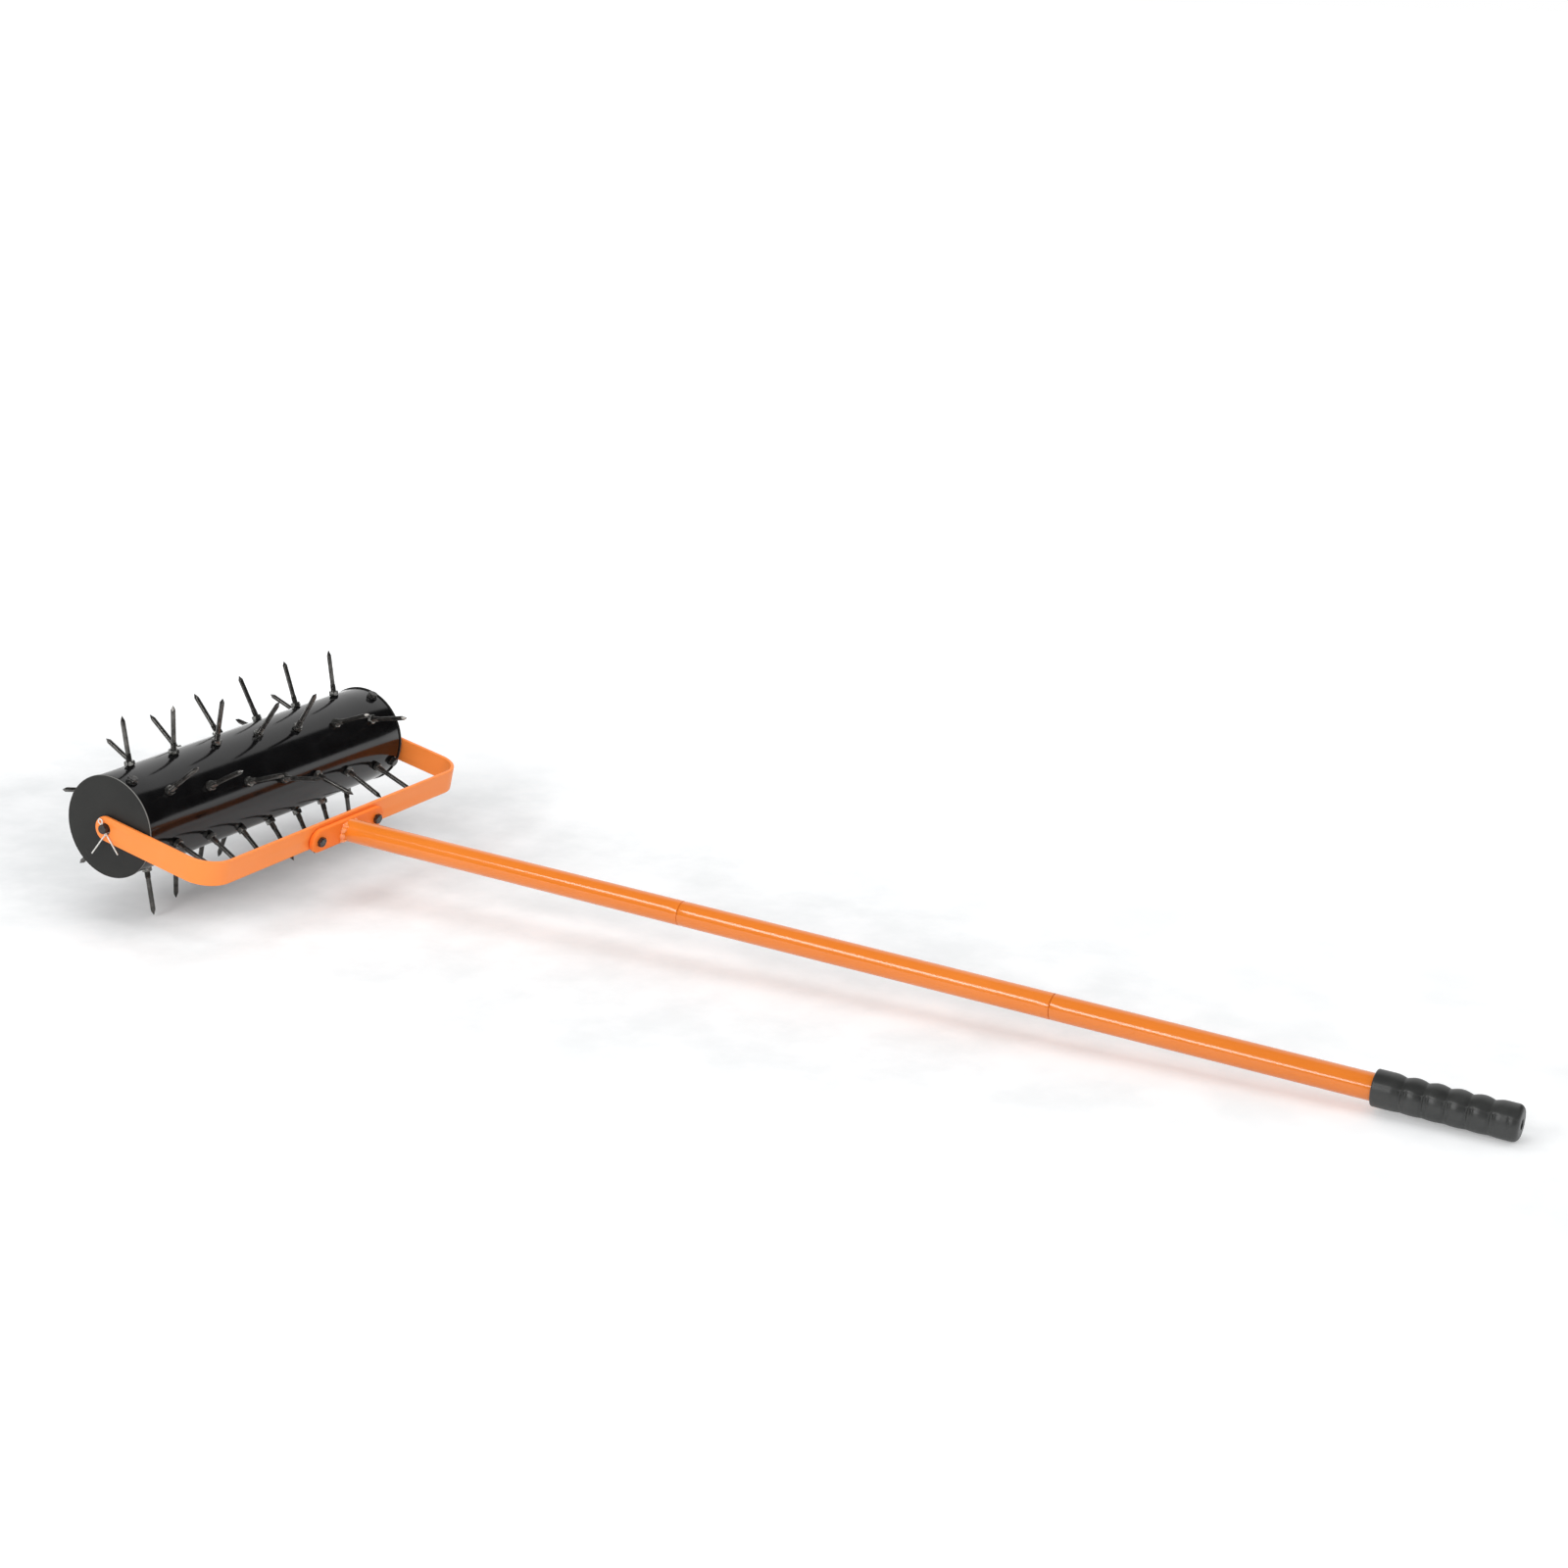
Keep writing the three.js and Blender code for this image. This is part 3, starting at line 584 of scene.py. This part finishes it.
NUT_HEIGHT = 5.2
NUT_LIFT = 0.3
INNER_NUT_TOP = -3.2
INNER_NUT_HEIGHT = 5.0
NUT_SEED = 11
nut_steel, shader, place = new_material("oiled_nut_steel", Metallic=0.85)
oiled = place.noise(300.0, 3.0)
oiled.smooth(0.3, 0.8).blend(colour(88, 88, 86), colour(146, 145, 141)).to(shader, "Base Color")
(0.12 + 0.12 * oiled).to(shader, "Roughness")

rings = hexagon(NUT_LIFT, NUT_HEIGHT, foot_chamfer=True)
outer_nut = loft(rings + [circle(NUT_LIFT + NUT_HEIGHT, TINE_ROOT, HEX_SIDES)])
inner_nut = loft(hexagon(INNER_NUT_TOP - INNER_NUT_HEIGHT, INNER_NUT_HEIGHT, foot_chamfer=True))
template = body("tine_nut", *joined(outer_nut, inner_nut), Matrix.Identity(4), nut_steel)
nuts = repeat("tine_nuts", template, tine_seats, nut_steel, NUT_SEED, FULL_SWING)
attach(nuts, "drum")

# ---------------------------------------------------------------------------
# Yoke: one flat bar with drilled ends, bent to a U. It is made flat, with its
# edges eased, then bent round both corners. Satin orange powder coat.

YOKE_SLOPE = 12.7625  # degrees by which the yoke falls towards the handle
EYE_DROP = 0.9
STRAP_WIDTH = 27.0
STRAP_THICKNESS = 4.0
STRAP_EDGE = 0.8
STRAP_HOLE = 6.2
YOKE_REACH = 141.0
YOKE_OUTSIDE = 222.8
CORNER_RADIUS = 32.0
BOLT_SPACING = 99.0
BOLT_HOLE = 3.3
PLATE_DROP = 3.5
ROUND_STEPS = 32
BEND_STEPS = 24
FLAT_MERGE = 1e-4  # millimetres within which two corners of a flat bar are one
ON_CUT = 1e-5  # millimetres within which a corner lies on a cut
BAR_SHARP = 60

yoke = Matrix.Translation(axle_place + Vector((0.0, 0.0, -EYE_DROP * MM)))
yoke = yoke @ Matrix.Rotation(math.radians(YOKE_SLOPE), 4, "Y")


def flat_bar(length, width, thickness, edge, holes):
    """Points and faces of a round-ended bar with eased edges and drilled holes, lying flat:
    X along it, Y across it, Z through it. Holes are (x, y, radius)."""
    curve = bpy.data.curves.new("flat_bar", "CURVE")
    curve.dimensions = "2D"
    curve.fill_mode = "BOTH"
    curve.extrude = thickness / 2 - edge
    curve.bevel_depth = edge
    curve.bevel_resolution = 2
    curve.offset = -edge
    end = length / 2 - width / 2
    outline = []
    for centre, start in ((end, -90), (-end, 90)):
        for turn in np.radians(np.linspace(start, start + 180, ROUND_STEPS + 1)):
            outline.append((centre + width / 2 * math.cos(turn), width / 2 * math.sin(turn)))
    loops = [outline]
    for x, y, radius in holes:
        turns = np.radians(np.linspace(0, -360, ROUND_STEPS + 1)[:-1])
        loops.append([(x + radius * math.cos(t), y + radius * math.sin(t)) for t in turns])
    for loop in loops:
        spline = curve.splines.new("POLY")
        spline.points.add(len(loop) - 1)
        spline.use_cyclic_u = True
        for point, (x, y) in zip(spline.points, loop):
            point.co = (x, y, 0.0, 1.0)
    holder = bpy.data.objects.new("flat_bar", curve)
    bpy.context.scene.collection.objects.link(holder)
    bpy.context.view_layer.update()
    mesh = bpy.data.meshes.new_from_object(holder)
    bpy.data.objects.remove(holder)
    return mesh


def cut_across(mesh, stations):
    """Cuts a mesh across X at each station, so that it can be bent there."""
    work = bmesh.new()
    work.from_mesh(mesh)
    bmesh.ops.remove_doubles(work, verts=work.verts, dist=FLAT_MERGE)
    for station in stations:
        bmesh.ops.bisect_plane(work, geom=[*work.verts, *work.edges, *work.faces], dist=ON_CUT,
                               plane_co=(station, 0.0, 0.0), plane_no=(1.0, 0.0, 0.0))
    work.to_mesh(mesh)
    work.free()
    return plain_lists(mesh)


orange_satin, shader, place = new_material(
    "orange_satin_coat", Specular_IOR_Level=0.35, Coat_Weight=0.1, Coat_Roughness=0.3)
cloud = place.noise(9.0, 3.0)
cloud.smooth(0.25, 0.8).blend(colour(254, 140, 60), colour(255, 147, 71)).to(shader, "Base Color")
(0.38 + 0.12 * place.noise(60.0, 3.0)).to(shader, "Roughness")
place.noise(700.0, 2.0).bump(0.1, 0.0002).to(shader, "Normal")

arm = YOKE_REACH - CORNER_RADIUS
mid_radius = CORNER_RADIUS - STRAP_THICKNESS / 2
quarter = mid_radius * math.pi / 2
crossbar_half = YOKE_OUTSIDE - CORNER_RADIUS
eye_place = crossbar_half + quarter + arm
holes = [(-eye_place, 0.0, STRAP_HOLE), (eye_place, 0.0, STRAP_HOLE)]
holes += [(side * BOLT_SPACING / 2, -PLATE_DROP, BOLT_HOLE) for side in (-1, 1)]
strap_mesh = flat_bar(2 * eye_place + STRAP_WIDTH, STRAP_WIDTH, STRAP_THICKNESS, STRAP_EDGE, holes)
bends = [side * (crossbar_half + quarter * step / BEND_STEPS)
         for side in (-1, 1) for step in range(BEND_STEPS + 1)]
points, faces = cut_across(strap_mesh, bends)


def bend(point):
    """The flat bar's X follows the U, its Y stands up and its Z points outwards."""
    side = math.copysign(1.0, point.x)
    past = abs(point.x) - crossbar_half
    middle = YOKE_REACH - STRAP_THICKNESS / 2
    if past <= 0:
        return Vector((middle + point.z, point.x, point.y))
    turn = min(past / mid_radius, math.pi / 2)
    straight = max(past - quarter, 0.0)
    radius = mid_radius + point.z
    return Vector((YOKE_REACH - CORNER_RADIUS + radius * math.cos(turn) - straight,
                   side * (crossbar_half + radius * math.sin(turn)), point.y))


strap = body("bent_yoke_strap", [bend(point) for point in points], faces, yoke, orange_satin, BAR_SHARP)
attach(strap, "frame")
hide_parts("yoke_strap")

# ---------------------------------------------------------------------------
# Handle foot: a thick round-ended plate, bolted to the yoke, with the front
# tube welded onto it at a slope. The plate takes a redder copy of the tube's
# orange, painted to stand in for how the light falls on it, and the weld is a
# ring of uneven lumps under a thick gloss coat.

PLATE_LENGTH = 125.0
PLATE_WIDTH = 27.0
PLATE_THICKNESS = 6.0
PLATE_EDGE = 1.4
PLATE_FRONT = 147.3
PLATE_CUTS = (-30.0, -15.0, 0.0, 15.0, 30.0)
HANDLE_RISE = 10.3  # degrees from the yoke's plane up to the handle
TUBE_RADIUS = 13.0
TUBE_BORE = 11.4
TUBE_EDGE = 0.8
TUBE_RINGS = 9
TUBE_END_RING = 12.0
TUBE_SIDES = 96
FRONT_TUBE = (-3.5, 420.0)  # start, inside the plate, and end
WELD_LUMP = 5.0
WELD_LEAST = 0.5
WELD_REACH = 1.3  # how much wider a lump is along the tube than out from it
WELD_START = -1.0
WELD_HEEL = -2.4
WELD_SINK = 1.4
WELD_ROOM = (0.35, 0.4)  # where the plate starts to leave room beside the tube, and how fast
WELD_STEPS = 240
WELD_SHARP = 75

orange_gloss, shader, place = new_material(
    "orange_gloss_coat", Specular_IOR_Level=0.1, Coat_Weight=0.9, Coat_Roughness=0.15, Coat_IOR=1.6)
cloud = place.noise(7.0, 3.0)
cloud.smooth(0.25, 0.8).blend(colour(229, 124, 36), colour(234, 130, 44)).to(shader, "Base Color")
(0.26 + 0.1 * place.noise(45.0, 3.0)).to(shader, "Roughness")
place.noise(900.0, 2.0).bump(0.05, 0.0001).to(shader, "Normal")

# A redder copy of the tube's orange, painted to stand in for the light on the plate.
plate_painted_light, shader, place = new_material("orange_plate_painted_light", Specular_IOR_Level=0.2)
cloud = place.noise(11.0, 3.0)
cloud.smooth(0.25, 0.8).blend(colour(255, 124, 42), colour(255, 131, 50)).to(shader, "Base Color")
(0.4 + 0.1 * place.noise(60.0, 3.0)).to(shader, "Roughness")
place.noise(800.0, 2.0).bump(0.08, 0.0001).to(shader, "Normal")

plate_holes = [(side * BOLT_SPACING / 2, 0.0, BOLT_HOLE) for side in (-1, 1)]
plate_mesh = flat_bar(PLATE_LENGTH, PLATE_WIDTH, PLATE_THICKNESS, PLATE_EDGE, plate_holes)
points, faces = cut_across(plate_mesh, PLATE_CUTS)
upright = [Vector((PLATE_FRONT - PLATE_THICKNESS / 2 + p.z, p.x, p.y - PLATE_DROP)) for p in points]
plate = body("handle_plate", upright, faces, yoke, plate_painted_light, BAR_SHARP)
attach(plate, "frame")
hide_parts("front_handle_section")

handle = yoke @ Matrix.Translation(Vector((PLATE_FRONT, 0.0, -PLATE_DROP)) * MM)
handle = handle @ Matrix.Rotation(-math.radians(HANDLE_RISE), 4, "Y")


def tube_profile(start, end):
    """The wall of a tube with both its ends eased."""
    lip = TUBE_EDGE / 2
    middle = np.linspace(start + TUBE_END_RING, end - TUBE_END_RING, TUBE_RINGS)
    return [
        *rounded(start + lip, TUBE_BORE + lip, lip, 270, 180, 3),
        *rounded(start + TUBE_EDGE, TUBE_RADIUS - TUBE_EDGE, TUBE_EDGE, 180, 90),
        *[(along, TUBE_RADIUS) for along in middle],
        *rounded(end - TUBE_EDGE, TUBE_RADIUS - TUBE_EDGE, TUBE_EDGE, 90, 0),
        *rounded(end - lip, TUBE_BORE + lip, lip, 0, -90, 3),
    ]


front_tube = body("front_tube", *lathe(tube_profile(*FRONT_TUBE), TUBE_SIDES), handle, orange_gloss)
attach(front_tube, "frame")


def weld_ring(turn):
    """A cross-section of the weld at one angle round the tube. Its lumps come from waves of
    different lengths, and it thins out at the sides, where the tube is as wide as the plate."""
    lumps = 0.6 * abs(math.sin(8 * turn + 0.9 * math.sin(3 * turn))) ** 0.5
    lumps += 0.3 * math.sin(5 * turn + 1.0)
    start, run = WELD_ROOM
    room = min(max((abs(math.cos(turn)) - start) / run, 0.0), 1.0)
    size = WELD_LEAST + (WELD_LUMP * (0.75 + lumps * 0.5) - WELD_LEAST) * room
    root = TUBE_RADIUS - WELD_SINK
    section = [(WELD_START + WELD_REACH * size * math.sin(angle), root + size * math.cos(angle))
               for angle in np.radians(np.linspace(-20, 110, 12))]
    section.append((WELD_HEEL, root))
    foot = -TUBE_RADIUS * math.sin(turn) * math.tan(math.radians(HANDLE_RISE))
    return [(along - foot, radius * math.cos(turn), radius * math.sin(turn))
            for along, radius in section]


weld_paint, shader, place = new_material(
    "orange_weld_coat", Coat_Weight=1.0, Coat_Roughness=0.06, Coat_IOR=1.8)
spatter = place.noise(160.0, 3.0)
spatter.smooth(0.3, 0.7).blend(colour(244, 128, 44), colour(255, 150, 62)).to(shader, "Base Color")
(0.3 + 0.1 * spatter).to(shader, "Roughness")

turns = np.linspace(0, 2 * math.pi, WELD_STEPS + 1)[:-1]
weld_skin = loft([weld_ring(turn) for turn in turns], True)
weld = body("weld_bead", *weld_skin, handle, weld_paint, WELD_SHARP)
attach(weld, "frame")

# ---------------------------------------------------------------------------
# Middle and rear tubes: the same tube, screwed end to end on threaded plugs, so
# that only a fine line with eased edges shows at each joint.

MIDDLE_TUBE = (420.3, 829.3)  # start and end along the handle
REAR_TUBE = (829.6, 1269.6)
PLUG_RADIUS = 11.1
PLUG_BORE = 8.1
PLUG_REACH = 34.0
PLUG_SHOULDER = 1.0
PLUG_HOLD = 12.0
PLUG_FIT = 0.6  # how far the plug reaches into the tube's wall, to which it is fixed
PLUG_SIDES = 48

for name, (start, end) in (("middle_tube", MIDDLE_TUBE), ("rear_tube", REAR_TUBE)):
    tip, shoulder, hold = start - PLUG_REACH, start + PLUG_SHOULDER, start + PLUG_HOLD
    plug = [(tip, PLUG_BORE), (tip, PLUG_RADIUS), (shoulder, PLUG_RADIUS),
            (shoulder, TUBE_BORE + PLUG_FIT), (hold, TUBE_BORE + PLUG_FIT), (hold, PLUG_BORE)]
    parts = joined(lathe(tube_profile(start, end), TUBE_SIDES), lathe(plug, PLUG_SIDES))
    tube = body("painted_" + name, *parts, handle, orange_gloss)
    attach(tube, "frame")
    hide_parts(name)

# ---------------------------------------------------------------------------
# Finger grip: moulded soft plastic pushed over the tube's end, with rounded
# finger lobes between sharp valleys, a rounded end and a vent hole.

GRIP_START = 1142.9
GRIP_LENGTH = 133.0
GRIP_LOBE = 17.6
GRIP_UNDER = 17.2
GROOVE_DEPTH = 2.2
GROOVE_UNDER = 0.3  # share of the depth that is left underneath
GROOVE_PITCH = 19.9
GROOVES = [27.0 + GROOVE_PITCH * index for index in range(5)]
UPPER = (-0.9, 0.0)  # cosine of the turn from the top: the underside ends, the top side starts
PAD = (0.48, 0.6)  # the same for the pad's edge
PAD_STEP = 0.5
RIB = (1.0, 1.25)  # height and half width
RIB_PLACE = 1.4
NOTCH = (0.6, 0.9)  # depth and half width, to either side of the rib
NOTCH_PLACE = 2.6
END_NOTCH = (9.5, 0.8)  # place from the grip's end, and half width
GRIP_MOUTH = 1.6
GRIP_END = 6.0
GRIP_STEP = 0.55
GRIP_SPAN = (2.6, GRIP_LENGTH - GRIP_END - 0.5)
GRIP_SOCKET = (13.3, 127.0)  # radius and depth
SOCKET_EDGE = 0.8
GRIP_VENT = 4.6
VENT_EDGE = 0.5
GRIP_SIDES = 120
GRIP_SHARP = 45


def ease(value, low, high):
    """0 below low, 1 above high, a smooth step between them."""
    share = min(max((value - low) / (high - low), 0.0), 1.0)
    return share * share * (3 - 2 * share)


def ridge(away, half):
    """A soft bump: 1 in its middle, fading over its half width."""
    return math.exp(-((away / half) ** 2))


def grip_size(place, turn):
    """Radius of the grip at a place along it and an angle from its top. A pad along the top stands
    proud of the sides, and on the sides a thin rib runs down each valley between two notches."""
    up = ease(math.cos(turn), *UPPER)
    side = up * (1 - ease(math.cos(turn), *PAD))
    away = min((place - groove for groove in GROOVES), key=abs)
    share = abs(away) / GROOVE_PITCH
    groove = GROOVE_DEPTH * (1 - math.sin(math.pi * share)) if share < 0.5 else 0.0
    lobe = GRIP_UNDER + (GRIP_LOBE - GRIP_UNDER) * up
    past = away - RIB_PLACE
    height, half = RIB
    depth, narrow = NOTCH
    from_end, end_half = END_NOTCH
    rib = height * ridge(past, half)
    rib -= depth * (ridge(past - NOTCH_PLACE, narrow) + ridge(past + NOTCH_PLACE, narrow))
    rib -= depth * ridge(place - GRIP_LENGTH + from_end, end_half)
    return lobe - (GROOVE_UNDER + (1 - GROOVE_UNDER) * up) * groove + side * (rib - PAD_STEP)


def grip_ring(place, inset):
    """A ring of the grip, drawn in by an inset where an end is rounded."""
    def size(turn):
        return grip_size(place, math.pi / 2 - turn) - inset

    return circle(GRIP_START + place, size, GRIP_SIDES)


soft_plastic, shader, place = new_material("charcoal_grip_plastic", Specular_IOR_Level=0.6)
bloom = place.noise(55.0, 3.0)
bloom.smooth(0.3, 0.75).blend(colour(46, 47, 46), colour(57, 58, 57)).to(shader, "Base Color")
(0.35 + 0.1 * bloom).to(shader, "Roughness")
place.noise(1200.0, 2.0).bump(0.15, 0.0002).to(shader, "Normal")

bore, socket_depth = GRIP_SOCKET
socket_end = GRIP_START + socket_depth
end = GRIP_START + GRIP_LENGTH
rings = [circle(along, size, GRIP_SIDES) for along, size in (
    (socket_end, bore), (GRIP_START + SOCKET_EDGE, bore), (GRIP_START, bore + SOCKET_EDGE))]
for angle in np.radians(np.linspace(90, 0, 6)):
    inward, along = GRIP_MOUTH * (1 - math.cos(angle)), GRIP_MOUTH * (1 - math.sin(angle))
    rings.append(grip_ring(along, inward))
rings += [grip_ring(along, 0.0) for along in np.arange(*GRIP_SPAN, GRIP_STEP)]
for angle in np.radians(np.linspace(0, 90, 10)):
    inward, along = GRIP_END * (1 - math.cos(angle)), GRIP_END * (1 - math.sin(angle))
    rings.append(grip_ring(GRIP_LENGTH - along, inward))
rings += [circle(along, size, GRIP_SIDES) for along, size in (
    (end, GRIP_VENT + VENT_EDGE), (end - VENT_EDGE, GRIP_VENT), (socket_end, GRIP_VENT))]
grip = body("moulded_grip", *loft(rings, True), handle, soft_plastic, GRIP_SHARP)
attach(grip, "frame")
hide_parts("finger_grip")

# ---------------------------------------------------------------------------
# Plate bolts: M6 hexagon heads on the front of the plate, and their nuts behind
# the crossbar with the ends of the bolts showing.

HEAD_SEAT = 147.6
HEAD_HEIGHT = 4.0
HEAD_DISH = (3.6, 3.2, 0.25)  # outer radius, inner radius and depth of the hollow in the face
BOLT_RADIUS = 3.0
BOLT_END = 129.2
BOLT_CHAMFER = 0.5
BOLT_SIDES = 24
NUT_FACE = 136.7
PLATE_NUT_HEIGHT = 5.0
NUT_BORE = 3.3

outer, inner, depth = HEAD_DISH
head_top = HEAD_SEAT + HEAD_HEIGHT
dish = [circle(along, size, HEX_SIDES) for along, size in (
    (head_top, outer), (head_top - depth, inner), (head_top - depth, 0.0))]
head = loft(hexagon(HEAD_SEAT, HEAD_HEIGHT) + dish)
shank = lathe([(BOLT_END, 0.0), (BOLT_END, BOLT_RADIUS - BOLT_CHAMFER),
               (BOLT_END + BOLT_CHAMFER, BOLT_RADIUS), (HEAD_SEAT, BOLT_RADIUS),
               (HEAD_SEAT, 0.0)], BOLT_SIDES, False)
nut_foot = NUT_FACE - PLATE_NUT_HEIGHT
bored = [circle(along, NUT_BORE, HEX_SIDES) for along in (NUT_FACE, nut_foot)]
plate_nut = loft(hexagon(nut_foot, PLATE_NUT_HEIGHT, foot_chamfer=True) + bored, True)
for side, label, roll in ((-1, "left", 0.34), (1, "right", 0.42)):
    seat = yoke @ Matrix.Translation(Vector((0.0, side * BOLT_SPACING / 2, -PLATE_DROP)) * MM)
    seat = seat @ Matrix.Rotation(roll, 4, "X")
    bolt = body(label + "_bolt", *joined(head, shank), seat, black_zinc)
    nut = body(label + "_nut", *plate_nut, seat, black_zinc)
    for made, node in ((bolt, label + "_plate_bolt"), (nut, label + "_plate_nut")):
        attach(made, "frame")
        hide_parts(node)

# ---------------------------------------------------------------------------
# Studio: a white floor that keeps the shadow, a broad lamp overhead, a slanted
# strip in front on the left that gives the tubes their highlight, a weak fill
# at the front right, and the camera at the photo's angle. Sizes are in metres.

FLOOR_REACH = 400.0
FLOOR_SQUEEZE = (0.4, 1.0, 1.0)
OBJECT_MIDDLE = (-0.14, 0.0, 0.0)  # on the squeezed floor
# centre of a painted shade: the floor glows less within reach of it
PAINTED_SHADE_BEHIND_DRUM = (-0.78, 0.18, 0.0)

corners = [(-FLOOR_REACH, -FLOOR_REACH, 0), (FLOOR_REACH, -FLOOR_REACH, 0),
           (FLOOR_REACH, FLOOR_REACH, 0), (-FLOOR_REACH, FLOOR_REACH, 0)]
floor_mesh = bpy.data.meshes.new("floor")
floor_mesh.from_pydata(corners, [], [(0, 1, 2, 3)])
floor = bpy.data.objects.new("floor", floor_mesh)
bpy.context.scene.collection.objects.link(floor)


def ray(place, kind):
    """1 for a ray of one kind, such as Camera, and 0 for the others."""
    return place.node("ShaderNodeLightPath", {}, "Is " + kind + " Ray")


# The floor glows only for rays that see it. It glows less near the object, where
# its shadow stays, and less again just behind the drum, which paints a shade on
# the floor there.
paper, shader, place = new_material(
    "white_paper", Roughness=0.9, Specular_IOR_Level=0.0, Emission_Strength=1.0)
clouds = place.noise(9.0, 5.0, 0.6).smooth(0.3, 0.7)
clouds.blend(colour(227, 229, 230), colour(241, 242, 243)).to(shader, "Base Color")
squeezed = place.node("ShaderNodeVectorMath", {0: place, 1: FLOOR_SQUEEZE}, operation="MULTIPLY")
away = squeezed.distance(OBJECT_MIDDLE)
# Less glow near the object keeps its shadow; less again behind the drum is painted shade.
glow = 0.04 + 0.09 * place.distance(PAINTED_SHADE_BEHIND_DRUM).smooth(0.3, 0.47)
glow = glow + 0.12 * away.smooth(0.22, 0.46) + 0.5 * away.smooth(0.45, 1.1)
seen = ray(place, "Camera") + ray(place, "Glossy") + ray(place, "Transmission")
(seen * glow).to(shader, "Emission Color")
floor_mesh.materials.append(paper)

# The world is white for the camera. Polished metal sees it dark but for one bright
# side behind on the left, and it lights the object softly, more from the right.
BRIGHT_SIDE = (-0.92, 0.0, 0.39)
DARK, BRIGHT = 0.02, 0.9
LEFT_LIGHT, MORE_RIGHT = 0.28, 0.56

world = bpy.data.worlds.new("studio")
bpy.context.scene.world = world
world.use_nodes = True
tree = world.node_tree
background = tree.nodes["Background"]
view = Shade(tree, tree.nodes.new("ShaderNodeTexCoord").outputs["Generated"])
right, behind, height = [view.node("ShaderNodeSeparateXYZ", {0: view}, axis) for axis in range(3)]
side = view.node("ShaderNodeVectorMath", {0: view, 1: BRIGHT_SIDE}, 1, operation="DOT_PRODUCT")
lit = BRIGHT * side.smooth(-0.03, 0.05) * height.smooth(-0.3, -0.1) * behind.smooth(0.3, 0.6)
level = DARK + lit
soft = level + ray(view, "Diffuse") * (LEFT_LIGHT + MORE_RIGHT * right.smooth(-0.6, 0.8) - level)
(soft + ray(view, "Camera") * (1.0 - soft)).to(background, "Strength")
background.inputs["Color"].default_value = (1.0, 1.0, 1.0, 1.0)


def lamp(name, place, aim, power, width, depth):
    """An area lamp that faces its aim."""
    light = bpy.data.lights.new(name, "AREA")
    light.energy = power
    light.shape = "RECTANGLE"
    light.size = width
    light.size_y = depth
    made = bpy.data.objects.new(name, light)
    bpy.context.scene.collection.objects.link(made)
    made.location = place
    made.rotation_euler = (Vector(aim) - Vector(place)).to_track_quat("-Z", "Y").to_euler()
    return made


overhead = lamp("overhead", (-0.5, 0.05, 2.3), (-0.5, 0.05, 0.0), 17.0, 2.2, 2.0)
overhead.visible_glossy = False
strip = lamp("strip", (-1.2, -3.0, 2.0), (-1.2, 0.0, 0.05), 58.0, 3.0, 0.7)
strip.rotation_euler.rotate_axis("Z", math.radians(-42))
front_fill = lamp("front_fill", (1.6, -2.4, 1.2), (-0.5, 0.0, 0.1), 16.0, 2.4, 2.4)
front_fill.visible_glossy = False

LENS = 61.426
CAMERA_PLACE = (1.20138, -2.22397, 0.95905)
CAMERA_TURN = (73.4157, -1.2852, 28.3310)
camera_data = bpy.data.cameras.new("camera")
camera_data.lens = LENS
camera_data.sensor_width = 36.0
camera_data.clip_end = 2000.0
camera = bpy.data.objects.new("camera", camera_data)
bpy.context.scene.collection.objects.link(camera)
camera.location = CAMERA_PLACE
camera.rotation_euler = [math.radians(turn) for turn in CAMERA_TURN]
bpy.context.scene.camera = camera
bpy.context.scene.view_settings.view_transform = "Standard"
